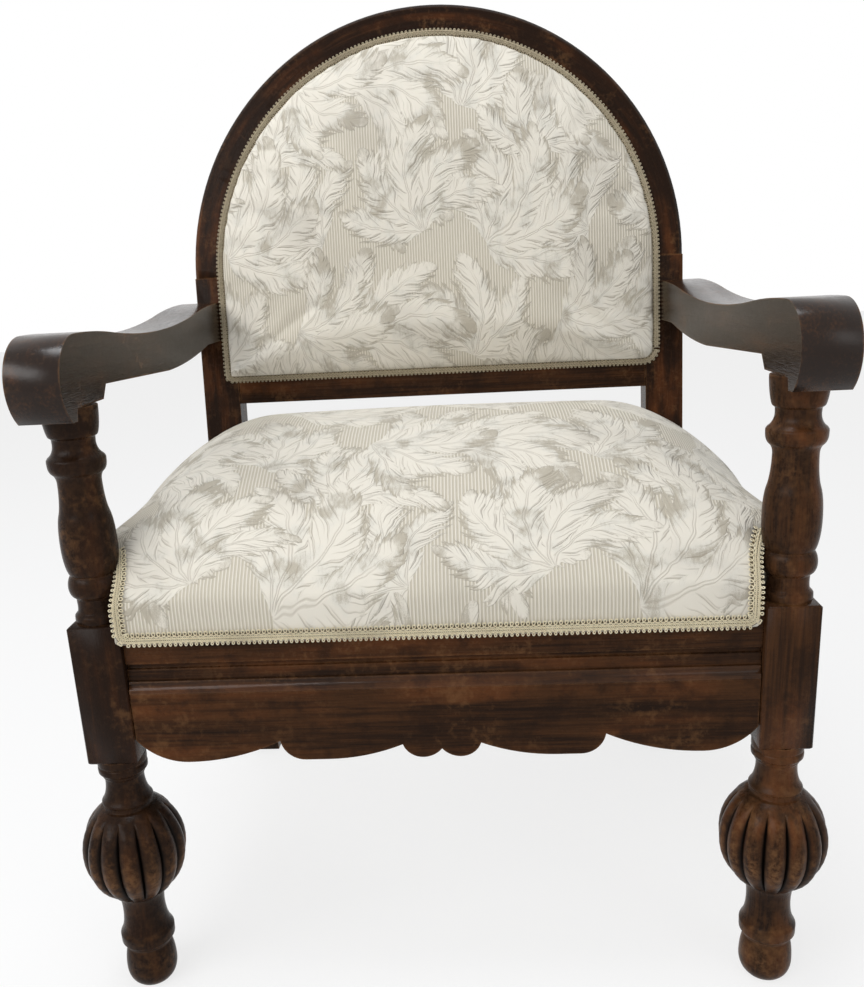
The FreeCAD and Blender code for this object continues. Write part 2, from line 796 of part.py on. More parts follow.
def back_post(label, sign):
    """One back post, sawn from a plank: raked above the seat and swept back to its foot."""
    body = new_body(label)
    side = new_sketch(body, "SideView", "YZ_Plane")
    draw(side, post_outline())
    pad(body, side, s.post_width, both_ways=True)
    inner = s.post_width / 2 * -sign
    taper = new_sketch(body, "FootTaper", "XZ_Plane")
    draw(taper, [
        (inner * 2, ZERO),
        ((s.back_foot_width - s.post_width / 2) * -sign, ZERO),
        (inner, KNEE),
        (inner * 2, KNEE),
    ])
    pocket(body, taper, REAR_REACH * 2, both_ways=True)
    lower = new_sketch(body, "LowerBackRailMortise", "YZ_Plane", inner, raked=True)
    mortise(body, lower, lower_back_rail_tenon(), s.tenon_length, reverse=sign > 0)
    rear = new_sketch(body, "RearRailMortise", "YZ_Plane", inner)
    mortise(body, rear, rear_rail_tenon(), s.tenon_length, reverse=sign > 0)
    seat = new_sketch(body, "SideRailMortise", "XZ_Plane", -s.frame_depth)
    corners = shifted(side_rail_tenon(s.frame_depth, sign), POST_CENTRE * sign)
    mortise(body, seat, corners, s.tenon_length)
    dowels = new_sketch(body, "DowelHoles", "XY_Plane", POST_LENGTH, raked=True)
    for behind in dowel_places():
        draw_circle(dowels, ZERO, behind, s.dowel_radius + s.fit)
    pocket(body, dowels, s.dowel_length / 2 + s.fit)
    across = (SCREW_ACROSS - POST_CENTRE) * sign
    screw = new_sketch(body, "ScrewHole", "XZ_Plane", raked=True)
    draw_circle(screw, across, SCREW_ALONG, s.screw_radius + s.fit)
    pocket(body, screw, s.post_depth)
    plug = new_sketch(body, "PlugHole", "XZ_Plane", -s.post_depth, raked=True)
    draw_circle(plug, across, SCREW_ALONG, s.plug_radius + s.fit)
    pocket(body, plug, s.plug_depth, reverse=True)
    place_upright(body, POST_CENTRE * sign)
    return body


def back_bow():
    """The bow over the back: half a ring that stands on the posts, its front edge eased."""
    body = new_body("back_bow")
    section = new_sketch(body, "BowSection", "XY_Plane", POST_LENGTH)
    draw(section, [
        (BETWEEN_POSTS, ZERO),
        (BACK_HALF_WIDTH - s.bow_chamfer, ZERO),
        (BACK_HALF_WIDTH, s.bow_chamfer),
        (BACK_HALF_WIDTH, s.post_depth),
        (BETWEEN_POSTS, s.post_depth),
    ])
    turn_about(body, section, angle=180, reverse=True)
    holes = new_sketch(body, "DowelHoles", "XY_Plane", POST_LENGTH)
    for sign in (-1, 1):
        for behind in dowel_places():
            draw_circle(holes, POST_CENTRE * sign, behind, s.dowel_radius + s.fit)
    pocket(body, holes, s.dowel_length / 2 + s.fit, reverse=True)
    place_in_back(body)
    return body


def rod(label, across, behind, along, radius, length, direction):
    """A round rod in the back's frame, from its start along a direction."""
    member = doc.addObject("Part::Cylinder", label)
    member.Radius = radius.number
    member.Height = length.number
    tie(member, "Radius", radius)
    tie(member, "Height", length)
    member.Placement = FreeCAD.Placement(
        FreeCAD.Vector(across.number, behind.number, along.number),
        FreeCAD.Rotation(FreeCAD.Vector(0, 0, 1), direction))
    tie(member, "Placement.Base.x", across)
    tie(member, "Placement.Base.y", behind)
    tie(member, "Placement.Base.z", along)
    return member


def group_in_back(label, members, kind="Part::Compound", link="Links"):
    group = doc.addObject(kind, label)
    group.Label = label
    setattr(group, link, members)
    place_in_back(group)
    return group


def bow_dowels():
    """Two dowels across each joint between bow and post."""
    up = FreeCAD.Vector(0, 0, 1)
    start = POST_LENGTH - s.dowel_length / 2
    members = []
    for sign in (-1, 1):
        for behind in dowel_places():
            members.append(
                rod("dowel", POST_CENTRE * sign, behind, start, s.dowel_radius, s.dowel_length, up))
    return group_in_back("bow_dowels", members)


def arm_screw(label, sign):
    """A screw through a post into the end grain of its arm, with its head sunk in the post."""
    forward = FreeCAD.Vector(0, -1, 0)
    across = SCREW_ACROSS * sign
    shoulder = s.post_depth - s.plug_depth
    shank = rod("shank", across, shoulder, SCREW_ALONG, s.screw_radius, shoulder + s.screw_bite, forward)
    head = rod("head", across, shoulder + s.screw_head_height, SCREW_ALONG, s.screw_head_radius,
               s.screw_head_height, forward)
    return group_in_back(label, [shank, head], "Part::MultiFuse", "Shapes")


def screw_plug(label, sign):
    """The turned plug over a screw's head, flush with the back of its post."""
    forward = FreeCAD.Vector(0, -1, 0)
    plug = rod("plug", SCREW_ACROSS * sign, s.post_depth, SCREW_ALONG, s.plug_radius,
               s.plug_depth - s.screw_head_height, forward)
    return group_in_back(label, [plug])


def lower_back_rail():
    """The rail under the back's upholstery, tenoned between the raked posts."""
    body = new_body("lower_back_rail")
    section = new_sketch(body, "RailSection", "YZ_Plane")
    draw(section, box_corners(s.lower_rail_inset, s.lower_rail_rise, s.post_depth, LOWER_RAIL_TOP))
    pad(body, section, BETWEEN_POSTS * 2, both_ways=True)
    tenon = new_sketch(body, "TenonSection", "YZ_Plane")
    draw(tenon, lower_back_rail_tenon())
    pad(body, tenon, (BETWEEN_POSTS + s.tenon_length) * 2, both_ways=True)
    place_in_back(body)
    return body


def rear_rail():
    """The seat rail between the back posts."""
    body = new_body("rear_rail")
    section = new_sketch(body, "RailSection", "YZ_Plane")
    draw(section, box_corners(REAR_RAIL_FRONT, RAIL_BOTTOM, REAR_RAIL_BACK, BLOCK_TOP))
    pad(body, section, BETWEEN_POSTS * 2, both_ways=True)
    tenon = new_sketch(body, "TenonSection", "YZ_Plane")
    draw(tenon, rear_rail_tenon())
    pad(body, tenon, (BETWEEN_POSTS + s.tenon_length) * 2, both_ways=True)
    place_upright(body)
    return body


def side_rail(label, sign):
    """A side seat rail, drawn in towards the back, with a straight tenon at each end."""
    body = new_body(label)
    plan = new_sketch(body, "PlanOutline", "XY_Plane", RAIL_BOTTOM)
    corners = [
        ((side_line(HALF_BLOCK) - s.rail_thickness) * sign, HALF_BLOCK),
        (side_line(HALF_BLOCK) * sign, HALF_BLOCK),
        (side_line(s.frame_depth) * sign, s.frame_depth),
        ((side_line(s.frame_depth) - s.rail_thickness) * sign, s.frame_depth),
    ]
    draw(plan, corners)
    pad(body, plan, s.rail_height)
    front = new_sketch(body, "FrontTenon", "XZ_Plane", -HALF_BLOCK)
    draw(front, side_rail_tenon(HALF_BLOCK, sign))
    pad(body, front, s.tenon_length)
    rear = new_sketch(body, "RearTenon", "XZ_Plane", -s.frame_depth)
    draw(rear, side_rail_tenon(s.frame_depth, sign))
    pad(body, rear, s.tenon_length, reverse=True)
    place_upright(body)
    return body


def corner_block(label, sign, front):
    """A glue block across one inner corner of the seat frame, clipped clear of leg or post."""
    if front:
        corner_across, corner_depth, face, way = BETWEEN_BLOCKS, HALF_BLOCK, RAIL_BACK, 1
    else:
        corner_across, corner_depth, face, way = BETWEEN_POSTS, s.frame_depth, REAR_RAIL_FRONT, -1
    near = corner_depth + s.corner_block_clip * way
    far = corner_depth + s.corner_block_leg * way
    body = new_body(label)
    plan = new_sketch(body, "PlanOutline", "XY_Plane", BLOCK_TOP - s.corner_block_drop)
    draw(plan, [
        ((corner_across - s.corner_block_leg) * sign, face),
        ((corner_across - s.corner_block_clip) * sign, face),
        ((side_line(near) - s.rail_thickness) * sign, near),
        ((side_line(far) - s.rail_thickness) * sign, far),
    ])
    pad(body, plan, s.corner_block_height, reverse=True)
    place_upright(body)
    return body


def arm_outline():
    """Side view of an arm: roll over the support, hollow top, and heel against the post."""
    top = ARM_SEAT + s.arm_front_height
    rear_top = ARM_SEAT + s.arm_rear_height
    hollow = top - s.arm_front_drop
    crest = rear_top - s.arm_crest_drop
    crest_depth = post_front(rear_top) - s.arm_crest_reach
    roll_middle = top - s.roll_radius
    roll_front = -s.roll_setback - s.roll_radius
    tip = ARM_SEAT - s.roll_tip_drop
    tip_depth = -s.roll_setback - leg_of(s.roll_radius, roll_middle - tip)
    belly = ARM_SEAT + s.arm_belly_rise
    heel = ARM_SEAT + s.arm_heel_rise
    heel_depth = post_front(heel) - s.arm_heel_length
    return [
        (-s.arm_pad_front, ARM_SEAT),
        (s.arm_pad_rear, ARM_SEAT),
        (s.arm_pad_rear + s.arm_pad_slope, ARM_SEAT + s.arm_pad_height),
        (s.arm_belly_reach, belly),
        (heel_depth, heel, swing(heel - belly, heel_depth - s.arm_belly_reach)),
        (post_front(heel), heel),
        (post_front(rear_top), rear_top),
        (crest_depth, crest, swing(s.arm_crest_drop, s.arm_crest_reach)),
        (s.arm_front_reach, hollow, -bow_radius((crest_depth - s.arm_front_reach) / 2, s.arm_top_sag)),
        (-s.roll_setback, top, swing(s.arm_front_drop, s.arm_front_reach + s.roll_setback)),
        (roll_front, roll_middle, s.roll_radius),
        (tip_depth, tip, s.roll_radius),
        (tip_depth + s.roll_tip_width, tip),
    ]


def arm(label, sign):
    """One scroll arm: its side view, sawn along both sides to the splay it has in plan."""
    body = new_body(label)
    side = new_sketch(body, "SideView", "YZ_Plane")
    draw(side, arm_outline())
    blank = s.arm_width * 3
    pad(body, side, blank, both_ways=True)
    plan = new_sketch(body, "SideCuts", "XY_Plane", ARM_SEAT)
    end = post_front(ARM_SEAT + s.arm_rear_height)
    inner = BACK_REACH + s.arm_clearance - HALF_SPACING + end * tangent(s.arm_splay)
    ahead = FRONT_REACH * -2
    behind = s.frame_depth * 2
    for edge, face in ((-1, inner), (1, inner + s.arm_width)):
        draw(plan, [
            ((face - ahead * tangent(s.arm_splay)) * sign, ahead),
            (blank * edge * sign, ahead),
            (blank * edge * sign, behind),
            ((face - behind * tangent(s.arm_splay)) * sign, behind),
        ])
    pocket(body, plan, blank * 2, both_ways=True)
    support = new_sketch(body, "SupportMortise", "XY_Plane", ARM_SEAT)
    draw_circle(support, ZERO, ZERO, s.tenon_radius + s.fit)
    pocket(body, support, s.arm_tenon_length + s.fit, reverse=True)
    pilot = new_sketch(body, "ScrewPilot", "XZ_Plane", raked=True)
    draw_circle(pilot, (SCREW_ACROSS - HALF_SPACING) * sign, SCREW_ALONG, s.screw_radius + s.fit)
    pocket(body, pilot, s.screw_bite + s.fit, reverse=True)
    place_upright(body, HALF_SPACING * sign)
    return body


def front_rail():
    """The front seat rail with its fascia, groove and a tenon at each end."""
    body = new_body("front_rail")
    fascia = RAIL_FRONT - s.fascia_step
    fascia_bottom = BLOCK_TOP - s.fascia_height
    groove = RAIL_FRONT + s.groove_depth
    section = new_sketch(body, "RailSection", "YZ_Plane")
    draw(section, [
        (RAIL_FRONT, RAIL_BOTTOM),
        (RAIL_BACK, RAIL_BOTTOM),
        (RAIL_BACK, BLOCK_TOP),
        (fascia, BLOCK_TOP),
        (fascia, fascia_bottom),
        (groove, fascia_bottom),
        (groove, fascia_bottom - s.groove_height),
        (RAIL_FRONT, fascia_bottom - s.groove_height),
    ])
    pad(body, section, BETWEEN_BLOCKS * 2, both_ways=True)
    tenon = new_sketch(body, "TenonSection", "YZ_Plane")
    draw(tenon, front_rail_tenon())
    pad(body, tenon, (BETWEEN_BLOCKS + s.tenon_length) * 2, both_ways=True)
    place_upright(body)
    return body


def front_moulding():
    """The small stepped and rounded moulding over the joint of rail and apron."""
    body = new_body("front_moulding")
    front = RAIL_FRONT - s.moulding_depth
    ledge = RAIL_FRONT - s.moulding_depth / 2
    top = RAIL_BOTTOM + s.moulding_height
    nose = RAIL_BOTTOM + s.moulding_nose
    cove = swing(s.moulding_depth / 2, top - s.moulding_fillet - nose)
    section = new_sketch(body, "MouldingSection", "YZ_Plane")
    draw(section, [
        (RAIL_FRONT, RAIL_BOTTOM),
        (RAIL_FRONT, top),
        (ledge, top),
        (ledge, top - s.moulding_fillet),
        (front, nose, -cove),
        (front, RAIL_BOTTOM),
    ])
    pad(body, section, (BETWEEN_BLOCKS - s.apron_gap) * 2, both_ways=True)
    place_upright(body)
    return body


def front_apron():
    """The board under the front rail, its lower edge sawn into lobes that meet in cusps."""
    body = new_body("front_apron")
    end = BETWEEN_BLOCKS - s.apron_gap
    small_lobe = end * s.small_lobe_share
    inner_cusp = end * s.inner_cusp_share
    middle_lobe = end * s.middle_lobe_share
    cusp_start = end * s.outer_cusp_start_share
    outer_cusp = end * s.outer_cusp_share
    outer_lobe = end * s.outer_lobe_share
    small_cusp = APRON_BOTTOM + s.inner_cusp_rise
    large_cusp = APRON_BOTTOM + s.outer_cusp_rise
    outline = new_sketch(body, "ApronOutline", "XZ_Plane", s.apron_step - RAIL_FRONT)
    draw(outline, both_halves([
        (ZERO, APRON_BOTTOM + s.notch_rise),
        (small_lobe, APRON_BOTTOM, swing(s.notch_rise, small_lobe)),
        (inner_cusp, small_cusp, swing(s.inner_cusp_rise, inner_cusp - small_lobe)),
        (middle_lobe, APRON_BOTTOM, swing(s.inner_cusp_rise, middle_lobe - inner_cusp)),
        (cusp_start, APRON_BOTTOM),
        (outer_cusp, large_cusp, swing(s.outer_cusp_rise, outer_cusp - cusp_start)),
        (outer_lobe, APRON_BOTTOM, swing(s.outer_cusp_rise, outer_lobe - outer_cusp)),
        (end, APRON_BOTTOM + s.apron_end_rise, swing(s.apron_end_rise, end - outer_lobe)),
        (end, RAIL_BOTTOM),
        (ZERO, RAIL_BOTTOM),
    ]))
    pad(body, outline, s.apron_thickness, reverse=True)
    place_upright(body)
    return body


def strap(label, left, front, bottom, width, depth, height):
    """One flat strap, as a box from its left front lower corner."""
    member = doc.addObject("Part::Box", label)
    for name, size in (("Length", width), ("Width", depth), ("Height", height)):
        setattr(member, name, size.number)
        tie(member, name, size)
    member.Placement.Base = FreeCAD.Vector(left.number, front.number, bottom.number)
    for letter, size in zip("xyz", (left, front, bottom)):
        tie(member, "Placement.Base." + letter, size)
    return member


def seat_webbing():
    """Straps across the seat frame: five from front to back and four over them."""
    front = RAIL_FRONT + s.strap_inset
    rear = REAR_RAIL_BACK - s.strap_inset
    half_length = SIDE_REAR - s.strap_inset
    middle = (HALF_BLOCK + s.frame_depth) / 2
    half_strap = s.strap_width / 2
    outer_long = BETWEEN_POSTS - s.strap_end_gap - half_strap
    outer_cross = s.frame_depth - s.strap_end_gap / 2 - half_strap - middle
    members = []
    for share in (-1, -1 / 2, 0, 1 / 2, 1):
        left = outer_long * share - half_strap
        members.append(strap("long_strap", left, front, BLOCK_TOP, s.strap_width, rear - front,
                             s.strap_thickness))
    for share in (-1, -1 / 3, 1 / 3, 1):
        near = middle + outer_cross * share - half_strap
        members.append(strap("cross_strap", -half_length, near, BLOCK_TOP + s.strap_thickness,
                             half_length * 2, s.strap_width, s.strap_thickness))
    group = doc.addObject("Part::MultiFuse", "seat_webbing")
    group.Label = "seat_webbing"
    group.Shapes = members
    place_upright(group)
    return group


def frame_plan(inset, notch):
    """Plan of the seat frame inside its blocks and posts, drawn in from its outer faces."""
    front = RAIL_FRONT + inset
    rear = REAR_RAIL_BACK - inset
    block_edge = BETWEEN_BLOCKS - notch
    block_back = HALF_BLOCK + notch
    post_edge = BETWEEN_POSTS - notch
    post_face = s.frame_depth - notch
    return both_halves([
        (ZERO, front),
        (block_edge, front),
        (block_edge, block_back),
        (side_line(block_back) - inset, block_back),
        (side_line(post_face) - inset, post_face),
        (post_edge, post_face),
        (post_edge, rear),
        (ZERO, rear),
    ])


def seat_hessian():
    """The cloth over the straps."""
    body = new_body("seat_hessian")
    plan = new_sketch(body, "Plan", "XY_Plane", HESSIAN_BOTTOM + s.strap_thickness)
    draw(plan, frame_plan(s.hessian_inset, s.hessian_inset))
    pad(body, plan, s.hessian_thickness)
    place_upright(body)
    return body


def seat_section(body, depth, bottom, inset, drop, shoulder_rise):
    """A cross-section of the seat: straight sides, round shoulders and a flat top, that far
    below the seat's longitudinal curve."""
    from_peak = depth - SEAT_FRONT - s.peak_depth
    half_width = side_line(depth) + s.side_stuffing - inset
    top = SEAT_TOP - DOME_RADIUS + leg_of(DOME_RADIUS, from_peak) - drop - inset
    shoulder = half_width - s.shoulder_width
    round_over = swing(shoulder_rise, s.shoulder_width)
    sketch = new_sketch(body, "SeatSection", "XZ_Plane", -depth)
    draw(sketch, [
        (-half_width, bottom),
        (half_width, bottom),
        (half_width, top - shoulder_rise),
        (shoulder, top, round_over),
        (-shoulder, top),
        (-half_width, top - shoulder_rise, round_over),
    ])
    return sketch


def seat_form(label, inset, bottom):
    """The stuffed seat's form, drawn in by an inset and cut round the blocks and posts."""
    body = new_body(label)
    front = SEAT_FRONT + inset
    rear = SEAT_REAR - inset
    peak = SEAT_FRONT + s.peak_depth
    nose = front + s.nose_depth
    ruled_loft(body, [
        seat_section(body, front, bottom, inset, s.nose_drop, ZERO + 3),
        seat_section(body, nose, bottom, inset, ZERO, s.nose_shoulder_rise),
        seat_section(body, nose + (peak - nose) / 3, bottom, inset, ZERO, s.shoulder_rise),
        seat_section(body, nose + (peak - nose) * 2 / 3, bottom, inset, ZERO, s.shoulder_rise),
        seat_section(body, peak, bottom, inset, ZERO, s.shoulder_rise),
        seat_section(body, (peak + rear) / 2, bottom, inset, ZERO, s.shoulder_rise),
        seat_section(body, rear, bottom, inset, ZERO, s.nose_shoulder_rise),
    ])
    gap = s.soft_gap + inset
    leg_reach = LEG_REACH + inset
    beyond = SIDE_FRONT + s.side_stuffing * 2
    ahead = SEAT_FRONT * 2
    high = ARM_SEAT
    low = RAIL_BOTTOM
    blocks = new_sketch(body, "BlockNotches", "XY_Plane", low)
    for sign in (-1, 1):
        corners = [
            ((BETWEEN_BLOCKS + s.corner_lap - inset) * sign, ahead),
            (beyond * sign, ahead),
            (beyond * sign, leg_reach),
            ((HALF_SPACING - leg_reach) * sign, leg_reach),
            ((HALF_SPACING - leg_reach) * sign, -leg_reach),
            ((BETWEEN_BLOCKS + s.corner_lap - inset) * sign, -leg_reach),
        ]
        draw(blocks, corners)
    pocket(body, blocks, high - low, reverse=True)
    for sign in (-1, 1):
        posts = new_sketch(body, "PostNotch", "YZ_Plane", (BETWEEN_POSTS - gap) * sign)
        draw(posts, [
            (s.frame_depth - gap, low),
            (REAR_REACH, low),
            (REAR_REACH, high),
            (post_front(high) - gap, high),
            (s.frame_depth - gap, BLOCK_TOP),
        ])
        pocket(body, posts, s.post_width * 2, reverse=sign > 0)
    place_upright(body)
    return body


def hollow_cover(label, outer, cavity):
    """A cover of its own thickness: its outer form less what lies inside it."""
    cover = doc.addObject("Part::Cut", label)
    cover.Label = label
    cover.Base = outer
    cover.Tool = cavity
    return cover


def seat_cover():
    """The seat's cover, stretched over the pad and down over the rails all round."""
    outer = seat_form("seat_cover_outside", ZERO, SKIRT_BOTTOM)
    cavity = seat_form("seat_cover_inside", s.cover_thickness, BLOCK_TOP)
    rails = new_sketch(cavity, "RailsPlan", "XY_Plane", RAIL_BOTTOM)
    draw(rails, frame_plan(-s.fascia_step - s.soft_gap, ZERO))
    pad(cavity, rails, s.rail_height)
    return hollow_cover("seat_cover", outer, cavity)


def seat_pad():
    """The seat's stuffing, from the hessian up to just under the cover."""
    bottom = HESSIAN_TOP + s.strap_thickness + s.soft_gap
    return seat_form("seat_pad", s.cover_thickness + s.soft_gap, bottom)


def seat_braid():
    """The braid along the seat's front edge, turned up beside both arm supports."""
    body = new_body("seat_braid")
    outline = new_sketch(body, "BraidOutline", "XZ_Plane", -SEAT_FRONT)
    outside = HALF_SPACING - LEG_REACH
    inside = outside - s.riser_width
    top = SKIRT_BOTTOM + s.braid_width
    riser_top = top + s.riser_height
    draw(outline, both_halves([
        (ZERO, SKIRT_BOTTOM),
        (outside, SKIRT_BOTTOM),
        (outside, riser_top),
        (inside, riser_top),
        (inside, top),
        (ZERO, top),
    ]))
    pad(body, outline, s.braid_thickness)
    place_upright(body)
    return body


def side_braid(label, sign):
    """The braid along one side of the seat's skirt."""
    body = new_body(label)
    plan = new_sketch(body, "Plan", "XY_Plane", SKIRT_BOTTOM)
    front = HALF_BLOCK + s.soft_gap
    rear = s.frame_depth - s.soft_gap
    near = side_line(front) + s.side_stuffing
    far = side_line(rear) + s.side_stuffing
    draw(plan, [
        (near * sign, front),
        ((near + s.braid_thickness) * sign, front),
        ((far + s.braid_thickness) * sign, rear),
        (far * sign, rear),
    ])
    pad(body, plan, s.braid_width)
    place_upright(body)
    return body


def rear_braid():
    """The braid along the back of the seat's skirt, between the posts."""
    body = new_body("rear_braid")
    section = new_sketch(body, "BraidSection", "YZ_Plane")
    draw(section, box_corners(SEAT_REAR, SKIRT_BOTTOM, SEAT_REAR + s.braid_thickness,
                              SKIRT_BOTTOM + s.braid_width))
    pad(body, section, (BETWEEN_POSTS - s.soft_gap) * 2, both_ways=True)
    place_upright(body)
    return body


def arched_outline(reach, low):
    """A flat-bottomed arched outline about the bow's middle."""
    return both_halves([
        (ZERO, low),
        (reach, low),
        (reach, POST_LENGTH),
        (ZERO, POST_LENGTH + reach, reach),
    ])


def arched_sheet(label, reach, low, front, thickness):
    """A flat arched sheet, from its front face backwards."""
    body = new_body(label)
    outline = new_sketch(body, "Outline", "XZ_Plane", -front)
    draw(outline, arched_outline(reach, low))
    pad(body, outline, thickness, reverse=True)
    place_in_back(body)
    return body


def arched_braid(label, reach, low, front):
    """A band of braid round an arched outline."""
    body = new_body(label)
    outline = new_sketch(body, "Outline", "XZ_Plane", -front)
    draw(outline, arched_outline(reach, low))
    draw(outline, arched_outline(reach - s.back_braid_width, low + s.back_braid_width))
    pad(body, outline, s.braid_thickness, reverse=True)
    place_in_back(body)
    return body


def crowned_form(body, inset, rear):
    """The domed form of the back: turned about the bow's middle above, straight below it, and
    sloping in to its lower edge."""
    reach = BETWEEN_POSTS + CROWN_LAP - inset
    low = LOWER_RAIL_TOP - CROWN_LAP + inset
    edge = s.back_cover_thickness + s.back_edge_crown - inset
    crown = edge + s.back_crown
    fall = reach - reach * s.back_flat_share
    bend = swing(s.back_crown, fall)
    slope_points = []
    for share in (1, 2 / 3, 1 / 3, 0):
        slope_points.append((reach - fall * (1 - share), -crown + bend - leg_of(bend, fall * share)))
    dome = new_sketch(body, "DomeSection", "XY_Plane", POST_LENGTH)
    draw(dome, [(reach, rear)] + slope_points + [(ZERO, -crown), (ZERO, rear)])
    turn_about(body, dome, angle=180, reverse=True)
    straight = new_sketch(body, "StraightSection", "XY_Plane", POST_LENGTH)
    mirrored = [(-across, behind) for across, behind in reversed(slope_points)]
    draw(straight, [(reach, rear)] + slope_points + mirrored + [(-reach, rear)])
    pad(body, straight, POST_LENGTH - low, reverse=True)
    slope = new_sketch(body, "LowerSlope", "YZ_Plane")
    draw(slope, [
        (-edge, low),
        (-crown, low + s.back_edge_depth, -swing(s.back_crown, s.back_edge_depth)),
        (-crown * 2, low + s.back_edge_depth),
        (-crown * 2, low),
    ])
    pocket(body, slope, reach * 3, both_ways=True)


def back_pad():
    """The back's stuffing, just under its cover."""
    body = new_body("back_pad")
    crowned_form(body, s.back_cover_thickness + s.soft_gap, -s.strap_thickness - s.hessian_thickness)
    place_in_back(body)
    return body


def back_cover():
    """The back's cover: a domed front with a flat margin tacked to bow, posts and rail."""
    outer = arched_sheet("back_cover_outside", BACK_REACH, BACK_LOW, -s.back_cover_thickness,
                         s.back_cover_thickness)
    crowned_form(outer, ZERO, ZERO)
    cavity = new_body("back_cover_inside")
    crowned_form(cavity, s.back_cover_thickness, s.back_cover_thickness)
    place_in_back(cavity)
    return hollow_cover("back_cover", outer, cavity)


def back_webbing():
    """Straps up the back, tacked at both ends under the cover."""
    half_strap = s.strap_width / 2
    reach = BETWEEN_POSTS + CROWN_LAP - s.back_cover_thickness - s.soft_gap
    low = LOWER_RAIL_TOP - CROWN_LAP + s.back_cover_thickness + s.soft_gap
    members = []
    for side in (-1, 0, 1):
        middle = reach * s.back_strap_share * side
        top = POST_LENGTH + leg_of(reach, reach * s.back_strap_share * abs(side) + half_strap)
        members.append(strap("back_strap", middle - half_strap, -s.strap_thickness, low,
                             s.strap_width, s.strap_thickness, top - low))
    return group_in_back("back_webbing", members)


def back_hessian():
    """The cloth over the back's straps."""
    inset = s.back_cover_thickness + s.soft_gap
    return arched_sheet("back_hessian", BETWEEN_POSTS + CROWN_LAP - inset,
                        LOWER_RAIL_TOP - CROWN_LAP + inset,
                        -s.strap_thickness - s.hessian_thickness, s.hessian_thickness)


sub_parts = [
    front_leg("front_leg_left", -1),
    front_leg("front_leg_right", 1),
    back_post("back_post_left", -1),
    back_post("back_post_right", 1),
    back_bow(),
    bow_dowels(),
    lower_back_rail(),
    arm("arm_left", -1),
    arm("arm_right", 1),
    arm_screw("arm_screw_left", -1),
    arm_screw("arm_screw_right", 1),
    screw_plug("screw_plug_left", -1),
    screw_plug("screw_plug_right", 1),
    front_rail(),
    front_moulding(),
    front_apron(),
    side_rail("side_rail_left", -1),
    side_rail("side_rail_right", 1),
    rear_rail(),
    corner_block("corner_block_front_left", -1, front=True),
    corner_block("corner_block_front_right", 1, front=True),
    corner_block("corner_block_rear_left", -1, front=False),
    corner_block("corner_block_rear_right", 1, front=False),
    seat_webbing(),
    seat_hessian(),
    seat_pad(),
    seat_cover(),
    seat_braid(),
    side_braid("side_braid_left", -1),
    side_braid("side_braid_right", 1),
    rear_braid(),
    back_webbing(),
    back_hessian(),
    back_pad(),
    back_cover(),
    arched_braid("back_braid", BACK_REACH, BACK_LOW, -s.back_cover_thickness - s.braid_thickness),
    arched_sheet("outside_back_cover", BETWEEN_POSTS + s.outside_lap, LOWER_RAIL_TOP - s.outside_lap,
                 s.post_depth, s.back_cover_thickness),
    arched_braid("outside_back_braid", BETWEEN_POSTS + s.outside_lap, LOWER_RAIL_TOP - s.outside_lap,
                 s.post_depth + s.back_cover_thickness),
]

doc.recompute()
for item in doc.Objects:
    if "Invalid" in item.State or "Error" in item.State:
        raise ValueError("%s failed: %s" % (item.Label, item.State))
for sub_part in sub_parts:
    if sub_part.Shape.isNull() or not sub_part.Shape.isValid():
        raise ValueError("%s has no valid shape" % sub_part.Label)

os.makedirs("parts", exist_ok=True)
for sub_part in sub_parts:
    sub_part.Shape.exportStep("parts/%s.step" % sub_part.Label)
    print("%s: %d solid(s), %.0f mm3" % (
        sub_part.Label, len(sub_part.Shape.Solids), sub_part.Shape.Volume))
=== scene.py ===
import math

import bmesh
import bpy
from mathutils import Matrix, Vector, noise


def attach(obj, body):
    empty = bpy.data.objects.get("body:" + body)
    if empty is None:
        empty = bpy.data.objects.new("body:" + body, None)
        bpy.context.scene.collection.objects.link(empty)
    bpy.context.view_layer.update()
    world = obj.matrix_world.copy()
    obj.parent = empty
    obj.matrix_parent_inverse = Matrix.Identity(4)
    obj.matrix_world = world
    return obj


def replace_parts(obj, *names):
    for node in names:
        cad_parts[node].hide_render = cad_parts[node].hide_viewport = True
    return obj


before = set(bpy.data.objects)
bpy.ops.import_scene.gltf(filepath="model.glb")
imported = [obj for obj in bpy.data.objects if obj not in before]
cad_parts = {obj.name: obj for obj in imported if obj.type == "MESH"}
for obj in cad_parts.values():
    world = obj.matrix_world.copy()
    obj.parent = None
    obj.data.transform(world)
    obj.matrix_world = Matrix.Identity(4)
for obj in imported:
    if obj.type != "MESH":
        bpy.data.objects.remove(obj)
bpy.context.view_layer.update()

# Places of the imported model, in millimetres. Depths run back from the line of the front legs'
# axes, which lies at FRONT_AXES in the scene.
MM = 0.001
FRONT_AXES = -219.5
HALF_SPACING = 300
HALF_BLOCK = 23
BLOCK_BOTTOM = 247
BLOCK_TOP = 380
BACK_DEPTH = 379
RAKE = math.radians(7)
BOW_RISE = 283.9
BOW_INSIDE = 248
BACK_REACH = 265
BACK_LOW = 157
SEAT_FRONT = -27
SEAT_REAR = 415
SEAT_TOP = 519
SKIRT_BOTTOM = 363

# The camera's place and angles, and the photograph's frame in pixels.
FRAME_WIDTH = 864
FRAME_HEIGHT = 987
CAMERA_SPOT = Vector((0.0349, -1.0191, 0.6770))
CAMERA_YAW = math.radians(3.58)
CAMERA_PITCH = math.radians(16.64)
CAMERA_ROLL = math.radians(-3.02)
FOCAL_PIXELS = 974.4
PRINCIPAL_X = 415.9
PRINCIPAL_Y = 546.0
SENSOR = 36


def at(across, depth, height):
    """A point of the chair, from millimetres to the scene's metres."""
    return Vector((across, depth + FRONT_AXES, height)) * MM


